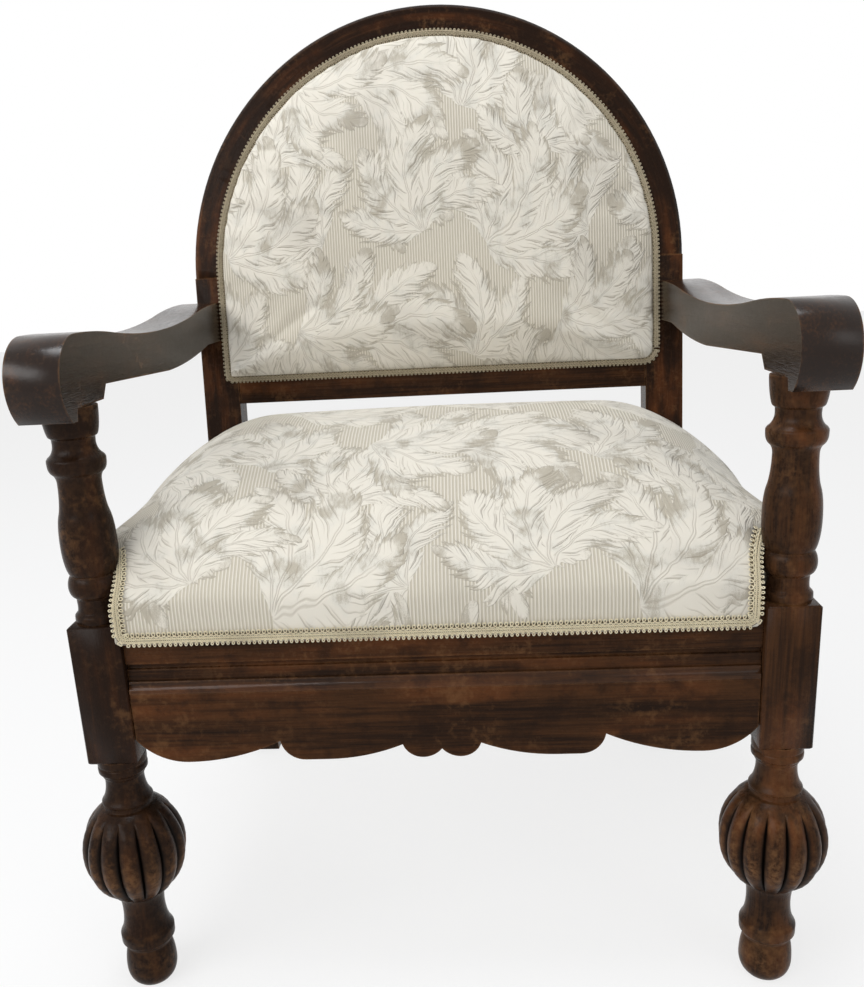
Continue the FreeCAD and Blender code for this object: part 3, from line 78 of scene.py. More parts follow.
def in_back(across, behind, along):
    """A point of the raked back: across, behind the posts' front face, and up the rake."""
    depth = BACK_DEPTH + along * math.sin(RAKE) + behind * math.cos(RAKE)
    return at(across, depth, BLOCK_TOP + along * math.cos(RAKE) - behind * math.sin(RAKE))


def add_object(name, data):
    """A new object in the scene."""
    made = bpy.data.objects.new(name, data)
    bpy.context.scene.collection.objects.link(made)
    return made


def add_camera():
    """The camera of the photograph, from its fitted place, angles, focal length and shift."""
    data = bpy.data.cameras.new("camera")
    data.sensor_width = SENSOR
    data.lens = FOCAL_PIXELS * SENSOR / FRAME_HEIGHT
    data.shift_x = (FRAME_WIDTH / 2 - PRINCIPAL_X) / FRAME_HEIGHT
    data.shift_y = (PRINCIPAL_Y - FRAME_HEIGHT / 2) / FRAME_HEIGHT
    camera = add_object("camera", data)
    turn = Matrix.Translation(CAMERA_SPOT)
    for angle, axis in ((CAMERA_YAW, "Z"), (math.pi / 2 - CAMERA_PITCH, "X"), (CAMERA_ROLL, "Z")):
        turn = turn @ Matrix.Rotation(angle, 4, axis)
    camera.matrix_world = turn
    bpy.context.scene.camera = camera


# Materials


def feed(tree, place, value):
    """Give a node's input a term, or a number or colour of its own."""
    if isinstance(value, Term):
        tree.links.new(value.socket, place)
    else:
        place.default_value = value


def add_node(tree, kind, values=()):
    """A new shader node, with (input, value) pairs for it."""
    node = tree.nodes.new("ShaderNode" + kind)
    for key, value in values:
        feed(tree, node.inputs[key], value)
    return node


class Term:
    """A number worked out at each point of a surface by math nodes."""

    def __init__(self, tree, socket):
        self.tree = tree
        self.socket = socket

    def math(self, kind, *others):
        node = add_node(self.tree, "Math", enumerate((self, *others)))
        node.operation = kind
        return Term(self.tree, node.outputs[0])

    def __add__(self, other):
        return self.math("ADD", other)

    def __sub__(self, other):
        return self.math("SUBTRACT", other)

    def __mul__(self, other):
        return self.math("MULTIPLY", other)

    def __truediv__(self, other):
        return self.math("DIVIDE", other)

    def flip(self):
        """One less this number."""
        return self * -1 + 1

    def size(self):
        return self.math("ABSOLUTE")

    def fraction(self):
        return self.math("FRACT")

    def smooth(self, low, high):
        """From 0 at one value to 1 at another, eased at both ends."""
        node = add_node(self.tree, "MapRange", (("Value", self), ("From Min", min(low, high)),
                                                ("From Max", max(low, high))))
        node.interpolation_type = "SMOOTHSTEP"
        rising = Term(self.tree, node.outputs["Result"])
        return rising if low < high else rising.flip()

    def blend(self, first, second):
        """A mix of two numbers: the first where this is 0, the second where it is 1."""
        return (second - first) * self + first


class Paint:
    """A material in the making: its coordinates, noises and colours."""

    def __init__(self, name):
        self.material = bpy.data.materials.new(name)
        self.material.use_nodes = True
        self.tree = self.material.node_tree
        self.shader = self.tree.nodes["Principled BSDF"]
        coordinates = add_node(self.tree, "TexCoord")
        self.x, self.y, self.z = self.parts(Term(self.tree, coordinates.outputs["Object"]))

    def parts(self, term):
        node = add_node(self.tree, "SeparateXYZ", ((0, term),))
        return [Term(self.tree, output) for output in node.outputs]

    def attribute(self, name, output="Fac"):
        node = add_node(self.tree, "Attribute")
        node.attribute_name = name
        return Term(self.tree, node.outputs[output])

    def noise(self, terms, scales, detail=3, roughness=0.5):
        """Noise over three coordinates, each with a scale of its own."""
        scaled = [term * scale for term, scale in zip(terms, scales)]
        spot = add_node(self.tree, "CombineXYZ", enumerate(scaled)).outputs[0]
        node = add_node(self.tree, "TexNoise", (("Scale", 1), ("Detail", detail),
                                                ("Roughness", roughness),
                                                ("Vector", Term(self.tree, spot))))
        return Term(self.tree, node.outputs["Fac"])

    def mottle(self, scale, detail=3, roughness=0.5):
        """Noise that is alike in all directions."""
        return self.noise((self.x, self.y, self.z), (scale,) * 3, detail, roughness)

    def mix(self, factor, first, second):
        """A mix of two colours, each a tuple or an earlier mix."""
        node = add_node(self.tree, "Mix")
        node.data_type = "RGBA"
        feed(self.tree, node.inputs["Factor"], factor)
        for name, colour in (("A", first), ("B", second)):
            place = [item for item in node.inputs if item.name == name and item.type == "RGBA"][0]
            feed(self.tree, place, (*colour, 1) if isinstance(colour, tuple) else colour)
        return Term(self.tree, [item for item in node.outputs if item.type == "RGBA"][0])

    def layers(self, colour, *coats):
        """A colour with (factor, colour) coats over it, the last on top."""
        for factor, tint in coats:
            colour = self.mix(factor, colour, tint)
        return colour

    def edges(self, radius):
        """Where the surface turns an edge: 0 on flats, 1 on sharp edges."""
        bevel = add_node(self.tree, "Bevel", (("Radius", radius),)).outputs[0]
        normal = add_node(self.tree, "NewGeometry").outputs["Normal"]
        dot = add_node(self.tree, "VectorMath", ((0, Term(self.tree, bevel)),
                                                 (1, Term(self.tree, normal))))
        dot.operation = "DOT_PRODUCT"
        return Term(self.tree, dot.outputs["Value"]).flip()

    def finish(self, colour, roughness, height, bump, specular, sheen=0):
        """Join the colour, roughness and relief to the shader."""
        relief = add_node(self.tree, "Bump", (("Distance", bump), ("Strength", 1),
                                              ("Height", height)))
        for name, value in (("Base Color", colour), ("Roughness", roughness),
                            ("Specular IOR Level", specular), ("Sheen Weight", sheen),
                            ("Sheen Roughness", 0.5),
                            ("Normal", Term(self.tree, relief.outputs["Normal"]))):
            feed(self.tree, self.shader.inputs[name], value)
        return self.material


WOOD_DARK = (0.016, 0.0078, 0.0045)
WOOD_BROWN = (0.062, 0.0255, 0.0098)
WOOD_RED = (0.110, 0.037, 0.0125)
WOOD_WORN = (0.185, 0.088, 0.036)
WOOD_CUT_DARK = (0.0045, 0.003, 0.0022)

# How fine the oak's noises are, to the metre: along the grain, and across it twice.
FIBRES = (16, 420, 420)
FIGURE = (5, 60, 60)
PORES = (70, 1500, 1500)
WORN_EDGE = 0.0035


def grain_directions(paint, grain):
    """The coordinates along and across a grain that runs along x, y or z, or round the bow."""
    x, y, z = paint.x, paint.y, paint.z
    if grain == "bow":
        rise = z - in_back(0, 0, BOW_RISE).z
        along = rise.math("ARCTAN2", x) * (BOW_INSIDE * MM)
        return along, (x * x + rise * rise).math("SQRT"), y
    return {"x": (x, y, z), "y": (y, x, z), "z": (z, x, y)}[grain]


def wood(name, grain, red=0.8, worn=0.7, carved=False, roughness=0.27, polish=0.1, depth=0.0):
    """Stained oak, redder in places and paler where it is rubbed. The depth darkens its stain.
    Carved wood is darker in its cuts, the deeper the darker, and worn on its crests."""
    paint = Paint(name)
    directions = grain_directions(paint, grain)
    fibre = paint.noise(directions, FIBRES, detail=4, roughness=0.6)
    figure = paint.noise(directions, FIGURE)
    pores = paint.noise(directions, PORES, detail=1)
    patch = paint.mottle(11)
    spots = paint.mottle(34, detail=4, roughness=0.65)
    grit = paint.mottle(160, roughness=0.65)
    shade = (fibre + figure).smooth(0.7 + depth, 1.35 + depth)
    redness = figure.smooth(0.42, 0.72) * patch.smooth(0.35, 0.65) * red
    scuffs = (spots * 0.7 + grit * 0.5).smooth(0.6, 0.8) * patch.smooth(0.38, 0.62) * 0.4
    stains = spots.smooth(0.5, 0.34) * 0.55
    edge = paint.edges(WORN_EDGE).smooth(0.02, 0.22) * (patch + grit).smooth(0.7, 1.25) * worn
    colour = paint.layers(WOOD_DARK, (shade, WOOD_BROWN), (redness, WOOD_RED),
                          (scuffs, WOOD_WORN), (stains, WOOD_DARK), (edge, WOOD_WORN))
    gloss = grit * 0.16 + fibre * 0.12 + (roughness - 0.14)
    height = fibre * 0.5 + pores * 0.35 + grit * 0.3
    if carved:
        cut, rubbed = paint.attribute("cut"), paint.attribute("rubbed")
        warm = rubbed * (grit * 1.3 + patch * 0.9).smooth(0.85, 1.45)
        # The cuts are darkened towards a near-black brown, the more the deeper they are.
        colour = paint.layers(colour, (warm, WOOD_WORN), (cut.smooth(0.15, 0.75), WOOD_CUT_DARK))
        gloss = gloss + cut * 0.25 + rubbed * 0.1
        height = height + rubbed * grit * 1.5
    return paint.finish(colour, gloss, height, bump=0.0002, specular=polish)


def weave(name, dark, light, pitch, directions="xy"):
    """A plain weave of coarse threads along two axes, for the straps and the hessian. Its colour
    is partly painted light: the dark colour is painted shade between the crossings, the light one
    a painted highlight on them, with random mottle.
    """
    paint = Paint(name)
    axes = {"x": paint.x, "y": paint.y, "z": paint.z}
    one, other = [(axes[letter] * (math.tau / pitch)).math("SINE") for letter in directions]
    cross = (one * other).smooth(-1, 1)
    # Painted shade between the crossings and painted highlight on them, mixed with random mottle.
    colour = paint.mix(cross * 0.6 + paint.mottle(30) * 0.4, dark, light)
    return paint.finish(colour, 0.95, cross, bump=pitch * 0.3, specular=0.1)


OVERLAID = ("Tone", "Leaf", "Line")


def spray_group():
    """A node group that draws a spray of notched leaves over what was drawn before it, on a
    pattern that repeats over the cloth. The leaves fan out from the spray's foot."""
    group = bpy.data.node_groups.new("spray", "ShaderNodeTree")
    sides = {"INPUT": ("U", "V", "Foot U", "Foot V", "Turn", "Length", "Curl") + OVERLAID,
             "OUTPUT": OVERLAID}
    for side, names in sides.items():
        for name in names:
            group.interface.new_socket(name, in_out=side, socket_type="NodeSocketFloat")
    entry = group.nodes.new("NodeGroupInput")
    exit_node = group.nodes.new("NodeGroupOutput")
    given = {output.name: Term(group, output) for output in entry.outputs if output.name}
    tile_u, tile_v = PATTERN_TILE
    off_u = (given["U"] - given["Foot U"]).math("WRAP", tile_u / 2, -tile_u / 2)
    off_v = (given["V"] - given["Foot V"]).math("WRAP", tile_v / 2, -tile_v / 2)
    distance = (off_u * off_u + off_v * off_v).math("SQRT")
    heading = off_v.math("ARCTAN2", off_u) - given["Turn"] - given["Curl"] * distance
    heading = heading.math("WRAP", math.pi, -math.pi)
    number = (heading / LEAF_SECTOR).math("ROUND")
    rank = number.size()
    turn = heading - number * LEAF_SECTOR
    reach = given["Length"] * (rank * -0.09 + 1)
    along = distance * turn.math("COSINE") / reach
    across = distance * turn.math("SINE") / reach
    across = across + number * (along - along * along) * 0.12
    aside = across.size()
    inside = (along * (along * -1 + 1) * 4).math("MAXIMUM", 0.0001)
    swept = along - aside * 1.2
    tooth = (swept * LEAF_TEETH + 0.15).fraction()
    fine = (swept * (LEAF_TEETH * TOOTH_HAIRS) + 0.1).fraction()
    body = inside.math("POWER", 0.62) * (rank * -0.014 + LEAF_WIDTH)
    margin = body * (tooth.math("POWER", 0.75) * 0.58 + 0.42) * (fine * 0.2 + 0.88)
    fan = rank.smooth(LEAF_RANKS + 0.1, LEAF_RANKS - 0.1)
    leaf = (margin - aside).smooth(0.0, 0.012) * fan
    rim = (margin - aside).size().smooth(0.016, 0.003)
    share = aside / (margin + 0.02)
    vein = tooth.smooth(0.11, 0.0) * share.smooth(0.1, 0.35)
    hair = fine.smooth(0.24, 0.02) * share.smooth(0.2, 0.5) * 0.6
    rib = (aside - 0.009).size().smooth(0.007, 0.001) * along.smooth(1.0, 0.5)
    tone = share.smooth(0.4, 1.0) * (tooth * 0.6 + 0.35) + along.smooth(0.7, 1.0) * 0.45
    line = vein.math("MAXIMUM", rib * 0.55).math("MAXIMUM", rim * 0.65).math("MAXIMUM", hair)
    results = (leaf.blend(given["Tone"], tone), given["Leaf"].math("MAXIMUM", leaf),
               leaf.blend(given["Line"], line))
    for name, term in zip(OVERLAID, results):
        feed(group, exit_node.inputs[name], term)
    return group


PATTERN_TILE = (0.31, 0.285)
# A spray's leaves: the angle from one to the next, how many ranks stand on each side of the
# middle one, half their width to their length, their teeth, and the fine veins to a tooth.
LEAF_SECTOR = math.radians(36)
LEAF_RANKS = 2.5
LEAF_WIDTH = 0.285
LEAF_TEETH = 6
TOOTH_HAIRS = 3
# Sprays in the pattern's tile: foot, direction in degrees, longest leaf, and how much the
# leaves curl, in radians to the metre.
SPRAYS = (
    (0.150, 0.020, 60, 0.120, 5),
    (0.290, 0.160, 165, 0.116, -5),
    (0.040, 0.235, -30, 0.120, 6),
    (0.235, 0.245, 100, 0.110, -6),
    (0.020, 0.040, 45, 0.138, -5),
    (0.170, 0.150, 25, 0.144, 5),
    (0.100, 0.170, 130, 0.126, -6),
    (0.255, 0.060, -25, 0.120, 5),
)

CLOTH_LIGHT = (0.79, 0.745, 0.65)
CLOTH_COOL = (0.74, 0.71, 0.63)
CLOTH_SHADE = (0.50, 0.455, 0.37)
CLOTH_LINE = (0.37, 0.315, 0.245)
CLOTH_RIB = (0.54, 0.49, 0.39)
CLOTH_SOIL = (0.30, 0.27, 0.23)
GROUND_RIB = 0.0031
LEAF_WANDER = 0.02


def leaf_cloth(name):
    """Ivory woven cloth: notched leaves in relief on a ribbed ground, a little soiled."""
    paint = Paint(name)
    group = spray_group()
    u, v, _ = paint.parts(paint.attribute("weave", "Vector"))

    def woven(scale_u, scale_v, detail, first=u, second=v):
        return paint.noise((first, second, u), (scale_u, scale_v, 0), detail)

    bent_u = u + (woven(24, 24, 2) - 0.5) * LEAF_WANDER
    bent_v = v + (woven(24, 24, 2, v, u) - 0.5) * LEAF_WANDER
    tone, leaf, line = u * 0, u * 0, u * 0
    for foot_u, foot_v, direction, length, curl in SPRAYS:
        node = paint.tree.nodes.new("ShaderNodeGroup")
        node.node_tree = group
        for place, value in zip(node.inputs, (bent_u, bent_v, foot_u, foot_v,
                                              math.radians(direction), length, curl,
                                              tone, leaf, line)):
            feed(paint.tree, place, value)
        tone, leaf, line = [Term(paint.tree, node.outputs[key]) for key in OVERLAID]
    ribbing = (u * (math.tau / GROUND_RIB)).math("SINE").smooth(-0.5, 0.9)
    thread = woven(1500, 1500, 1)
    slub = woven(420, 160, 2)
    cloud = woven(9, 9, 3)
    patch = woven(31, 31, 2, v, u)
    ground = paint.mix(ribbing * 0.8 + slub * 0.15, CLOTH_RIB, CLOTH_LIGHT)
    pale = paint.mix(patch.smooth(0.45, 0.62), CLOTH_LIGHT, CLOTH_COOL)
    speckle = (slub - 0.5) * 0.6 + (thread - 0.5) * 0.6
    shade = (tone * 0.85 + speckle + (patch - 0.5) * 2.4).smooth(0.1, 0.6)
    dust = cloud.smooth(0.5, 0.76) * (thread * 0.3 + 0.35) * (tone * 0.8 + 0.5)
    colour = paint.layers(ground, (leaf, paint.mix(shade, pale, CLOTH_SHADE)),
                          (line * 0.6, CLOTH_LINE), (dust, CLOTH_SOIL))
    relief = leaf * (shade * -0.3 + 0.85) + ribbing * leaf.flip() * 0.35 - line * 0.6
    height = relief + thread * 0.16 + slub * 0.1
    return paint.finish(colour, 0.9, height, bump=0.0009, specular=0.12, sheen=0.15)


THREAD_TWIST = 0.0012
THREAD_GRIME = (0.16, 0.12, 0.07)


def thread_material(name, dark, light):
    """Shiny twisted thread, for the braids. Its colour is partly painted light: the light colour
    is a painted highlight on each turn of the twist, the dark one painted shade between the turns,
    with random mottle.
    """
    paint = Paint(name)
    spiral = (paint.x + paint.y + paint.z) * (math.tau / THREAD_TWIST)
    twist = spiral.math("SINE").smooth(-1, 1)
    # Painted highlight on the turns of the twist and painted shade between them, with random
    # mottle.
    painted_highlight_and_mottle = (twist + paint.mottle(240, 2)).smooth(0.2, 1.3)
    grime = paint.mottle(14, 2).smooth(0.5, 0.75) * 0.35
    colour = paint.layers(dark, (painted_highlight_and_mottle, light), (grime, THREAD_GRIME))
    return paint.finish(colour, 0.6, twist, bump=0.0002, specular=0.3, sheen=0.15)


# Meshes


def add_piece(name, points, faces, material, slot, crease=40):
    """A new object that rides on the chair."""
    mesh = bpy.data.meshes.new(name)
    mesh.from_pydata([tuple(point) for point in points], [], faces)
    mesh.validate()
    shape = bmesh.new()
    shape.from_mesh(mesh)
    bmesh.ops.recalc_face_normals(shape, faces=shape.faces)
    shape.to_mesh(mesh)
    shape.free()
    mesh.shade_smooth()
    mesh.set_sharp_from_angle(angle=math.radians(crease))
    piece = add_object(name, mesh)
    mesh.materials.append(material)
    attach(piece, "root")
    return piece


def grid_faces(rows, columns, closed=False, start=0, ends=False):
    """Quads between neighbouring points of a grid. Its rows may close into rings, and its
    first and last ring may be filled."""
    faces = []
    for row in range(rows - 1):
        for column in range(columns if closed else columns - 1):
            after = (column + 1) % columns
            low = start + row * columns
            high = low + columns
            faces.append((low + column, low + after, high + after, high + column))
    if ends:
        last = start + (rows - 1) * columns
        faces.append(tuple(range(start, start + columns)))
        faces.append(tuple(reversed(range(last, last + columns))))
    return faces


def joined(parts):
    """The points and faces of several parts as those of one."""
    points, faces = [], []
    for part_points, part_faces in parts:
        faces += [tuple(index + len(points) for index in face) for face in part_faces]
        points += part_points
    return points, faces


def keep_at_points(piece, name, values, kind="FLOAT", key="value"):
    """Keep a number or vector for each point of a mesh, for its material to read."""
    layer = piece.data.attributes.new(name, kind, "POINT")
    layer.data.foreach_set(key, values)


def eased(start, end, steps=7, reach=math.radians(64)):
    """Points of a shallow arc from one (radius, height) to another, upright at its start."""
    points = []
    for step in range(1, steps + 1):
        turn = reach * step / steps
        across = (1 - math.cos(turn)) / (1 - math.cos(reach))
        along = math.sin(turn) / math.sin(reach)
        points.append((start[0] + (end[0] - start[0]) * across,
                       start[1] + (end[1] - start[1]) * along))
    return points


def turned_outline(stops):
    """Points of a turned outline from its stops, (radius, height) or (radius, height, form).
    The outline comes to a stop by a line, or by the form: an arc upright at its start or its
    end, or a wave."""
    points = [stops[0]]
    for radius, height, *form in stops[1:]:
        before, here = points[-1], (radius, height)
        middle = ((before[0] + radius) / 2, (before[1] + height) / 2)
        if form == ["start"]:
            points += eased(before, here)
        elif form == ["end"]:
            points += eased(here, before)[-2::-1] + [here]
        elif form == ["wave"]:
            points += eased(before, middle) + eased(here, middle)[-2::-1] + [here]
        else:
            points.append(here)
    return points


def soften(points, reach=0.9, least=math.radians(18)):
    """Cut each sharp corner of an outline by a small round."""
    kept = [points[0]]
    for before, here, after in zip(points, points[1:], points[2:]):
        into = Vector(here) - Vector(before)
        out = Vector(after) - Vector(here)
        if into.angle(out) < least:
            kept.append(here)
            continue
        first = Vector(here) - into.normalized() * min(reach, into.length * 0.4)
        last = Vector(here) + out.normalized() * min(reach, out.length * 0.4)
        middle = (first + last) * 0.25 + Vector(here) * 0.5
        kept += [tuple(first), tuple(middle), tuple(last)]
    return kept + [points[-1]]


LOBES = 14
AROUND = LOBES * 14
BULB_LOW = 101
BULB_HIGH = 191
BULB_BELLY = 135
BULB_STEP = 1.6
# How deep the flutes are cut between the bulb's bars, how far the bars round off beside them,
# and the cut at which the cuts are fully darkened and roughened, in millimetres.
GROOVE_DEPTH = 2.4
BAR_ROUNDING = 3.8
DARKEST_CUT = 5.0
HAND_WOBBLE = 0.35
BLOCK_CHAMFER = 1.3

# Outlines of the turned parts: (radius, height, form), as turned_outline reads them.
LOWER_TURNING = (
    (0, 0), (17.6, 0), (18.5, 1.2), (24.2, 17, "end"),
    (20.6, 40, "start"), (22.0, 44), (25.4, 47), (25.6, 56),
    (24.0, 59), (19.8, 82, "end"), (22.8, 100, "start"), (48.2, 148, "end"),
    (25.6, 194, "start"), (22.2, 194.6), (21.6, 199), (23.4, 199.6),
    (23.6, 201.6), (17.9, 222, "end"), (18.2, 226), (19.6, 227.5),
    (22.5, 232, "start"), (22.7, 236.5), (21.4, 238.5), (22.6, 240),
    (22.6, 247),
)
UPPER_TURNING = (
    (20.6, 380), (21.2, 382), (21.0, 387), (18.2, 390),
    (17.3, 396, "end"), (17.5, 403), (19.6, 404.5), (22.8, 413, "end"),
    (19.4, 424, "start"), (20.4, 425), (24.2, 450, "end"), (18.4, 506, "wave"),
    (24.5, 522, "wave"), (24.6, 526), (23.2, 528), (17.9, 539, "end"),
    (18.2, 544), (20.6, 545.5), (23.8, 570.6, "end"), (0, 570.6),
)


def flute_depth(height):
    """How much of its full depth a flute has at a height: it starts and ends in a point."""
    fall = min(1, max(0, (BULB_HIGH - height) / 20))
    rise = min(1, max(0, (height - BULB_LOW) / 7))
    return fall ** 0.8 * rise ** 0.6


def turned_leg(side, sign, material):
    """A front leg's turned parts with the fluted bulb, and the square block between them."""
    outline = soften(turned_outline(LOWER_TURNING))
    lower = outline[:1]
    for before, here in zip(outline, outline[1:]):
        pieces = 1
        if BULB_LOW - 4 <= here[1] <= BULB_HIGH + 6:
            pieces = max(1, round((Vector(here) - Vector(before)).length / BULB_STEP))
        for part in range(1, pieces + 1):
            share = part / pieces
            lower.append((before[0] + (here[0] - before[0]) * share,
                          before[1] + (here[1] - before[1]) * share))
    upper = soften(turned_outline(UPPER_TURNING))
    points, cuts, rubs = [], [], []
    for radius, height in lower + upper:
        depth = flute_depth(height) if height < BLOCK_BOTTOM else 0
        for step in range(AROUND):
            turn = math.tau * step / AROUND
            place = (step / (AROUND / LOBES)) % 1
            crest = 2 * abs(place - 0.5)
            cut = max(0.0, depth - crest * 7) * GROOVE_DEPTH
            cut += depth * (1 - crest) ** 1.8 * BAR_ROUNDING
            wobble = noise.noise(Vector((math.cos(turn), math.sin(turn), height * 0.03)))
            reach = radius - cut + (wobble * HAND_WOBBLE if radius > 1 else 0)
            points.append(at(HALF_SPACING * sign + math.cos(turn) * reach,
                             math.sin(turn) * reach, height))
            cuts.append(min(1.0, cut / DARKEST_CUT))
            bulge = max(0.0, 1 - abs(height - BULB_BELLY) / 36) if height < BLOCK_BOTTOM else 0
            foot = 0.34 if height < 60 else 0.12
            rubs.append(min(1.0, max(bulge * (0.35 + crest * 0.65), foot) * (1 + sign * 0.25)))
    faces = grid_faces(len(lower), AROUND, closed=True)
    faces += grid_faces(len(upper), AROUND, closed=True, start=len(lower) * AROUND)
    half, chamfer = HALF_BLOCK, BLOCK_CHAMFER
    levels = ((BLOCK_BOTTOM, half - chamfer), (BLOCK_BOTTOM + chamfer, half),
              (BLOCK_TOP - chamfer, half), (BLOCK_TOP, half - chamfer))
    first = len(points)
    faces += grid_faces(len(levels), 8, closed=True, start=first)
    faces += [tuple(range(first + 7, first - 1, -1)), tuple(range(first + 24, first + 32))]
    for level, reach in levels:
        ring = [(-reach, chamfer - reach), (chamfer - reach, -reach)]
        for _ in range(3):
            ring += [(-along, across) for across, along in ring[-2:]]
        points += [at(HALF_SPACING * sign + across, along, level) for across, along in ring]
        cuts += [0.0] * 8
        rubs += [0.0] * 8
    piece = add_piece("turned_leg_" + side, points, faces, material, "oak", crease=50)
    keep_at_points(piece, "cut", cuts)
    keep_at_points(piece, "rubbed", rubs)
    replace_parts(piece, "front_leg_" + side)


def keep_weave(piece, place):
    """Store where each point of a cover lies on its flat cloth, in metres."""
    values = []
    for vertex in piece.data.vertices:
        values += [*place(vertex.co), 0.0]
    keep_at_points(piece, "weave", values, "FLOAT_VECTOR", "vector")


def add_modifier(piece, kind, **settings):
    """A modifier on a piece, with its settings."""
    modifier = piece.modifiers.new(kind.lower(), kind)
    for key, value in settings.items():
        setattr(modifier, key, value)


def ease_edges(node, width):
    """Round the long edges of a packed wooden piece a little, as a plane and years of hands do."""
    add_modifier(node, "WELD", merge_threshold=0.00001)
    add_modifier(node, "BEVEL", width=width, segments=2, limit_method="ANGLE",
                 angle_limit=math.radians(38), harden_normals=True)


def apply_modifiers(piece):
    """Turn a piece's modifiers into its mesh."""
    graph = bpy.context.evaluated_depsgraph_get()
    mesh = bpy.data.meshes.new_from_object(piece.evaluated_get(graph))
    piece.modifiers.clear()
    piece.data = mesh


CLOTH_VOXEL = 0.005
CLOTH_FRAMES = 20
CLOTH_SETTINGS = (("quality", 5), ("mass", 0.3), ("tension_stiffness", 40),
                  ("compression_stiffness", 40), ("shear_stiffness", 12),
                  ("bending_stiffness", 1.5), ("use_pressure", True),
                  ("vertex_group_mass", "held"))


def inflate(piece, held, pressure, cap):
    """Fill a closed cover with air by a cloth simulation, with its tacked edges held, and
    let no point move further than the cap."""
    rest = [vertex.co.copy() for vertex in piece.data.vertices]
    group = piece.vertex_groups.new(name="held")
    group.add([index for index, spot in enumerate(rest) if held(spot)], 1, "REPLACE")
    modifier = piece.modifiers.new("cloth", "CLOTH")
    settings = modifier.settings
    for key, value in CLOTH_SETTINGS:
        setattr(settings, key, value)
    settings.uniform_pressure_force = pressure
    settings.effector_weights.gravity = 0
    scene = bpy.context.scene
    for number in range(1, CLOTH_FRAMES + 1):
        scene.frame_set(number)
    apply_modifiers(piece)
    scene.frame_set(1)
    for vertex, spot in zip(piece.data.vertices, rest):
        move = vertex.co - spot
        if move.length > cap:
            vertex.co = spot + move.normalized() * cap


def stuff(piece, held, pressure, cap, cloth):
    """Give a cushion's cover an even mesh, fill it out, round it, and lay its cloth's pattern
    on it."""
    add_modifier(piece, "REMESH", mode="VOXEL", voxel_size=CLOTH_VOXEL, use_smooth_shade=True)
    apply_modifiers(piece)
    inflate(piece, held, pressure, cap)
    add_modifier(piece, "SUBSURF", levels=1, render_levels=1)
    apply_modifiers(piece)
    piece.data.shade_smooth()
    keep_weave(piece, cloth)


# The seat

SEAT_PEAK = 215
DOME_RADIUS = 317.4
CENTRE_RISE = 4
SHOULDER_WIDTH = 127
SHOULDER_BEND = 230
EDGE_ROUND = 9
SEAT_ROWS = 64
SEAT_COLUMNS = 84
WALL_STEPS = 12
FRONT_STEPS = 8
REAR_STEPS = 6
# The cover's half widths: between the blocks, over its front flap, and between the posts.
NOTCH_HALF = 277.5
NOTCH_DEPTH = 25
FLAP_LEFT = 282
FLAP_RIGHT = 270
REAR_HALF = 247


def seat_half(depth):
    """Half the seat's full width at a depth."""
    share = (depth - HALF_BLOCK) / (BACK_DEPTH - HALF_BLOCK)
    return 308.0 - 11.5 * share


def seat_height(across, depth):
    """Height of the stuffed seat: crowned from front to back, with round shoulders."""
    from_peak = depth - SEAT_PEAK
    top = SEAT_TOP - 1 - DOME_RADIUS + math.sqrt(DOME_RADIUS ** 2 - from_peak ** 2)
    full = seat_half(depth)
    beyond = max(0.0, abs(across) - (full - SHOULDER_WIDTH))
    rise = min(1.0, max(0.0, (depth + 10) / 150))
    rise = 0.12 + 0.88 * rise * rise * (3 - 2 * rise)
    drop = beyond ** 2 / SHOULDER_BEND * rise
    centre = max(0.0, 1 - (across / 240) ** 2) * min(1.0, (depth - SEAT_FRONT) / 120)
    return top + CENTRE_RISE * centre - drop


def seat_cloth(spot):
    """Where a point of the seat's cover lies on its flat cloth, which also runs down the sides."""
    depth = spot.y / MM - FRONT_AXES
    inner = seat_half(depth) - SHOULDER_WIDTH
    beyond = min(1.0, max(0.0, (abs(spot.x) / MM - inner) / SHOULDER_WIDTH))
    side = min(1.0, max(0.0, (depth + 5) / 30))
    fall = max(0.0, seat_height(0, depth) * MM - spot.z) * beyond ** 2 * side
    return spot.x + math.copysign(fall, spot.x), depth * MM + 0.45 * spot.z


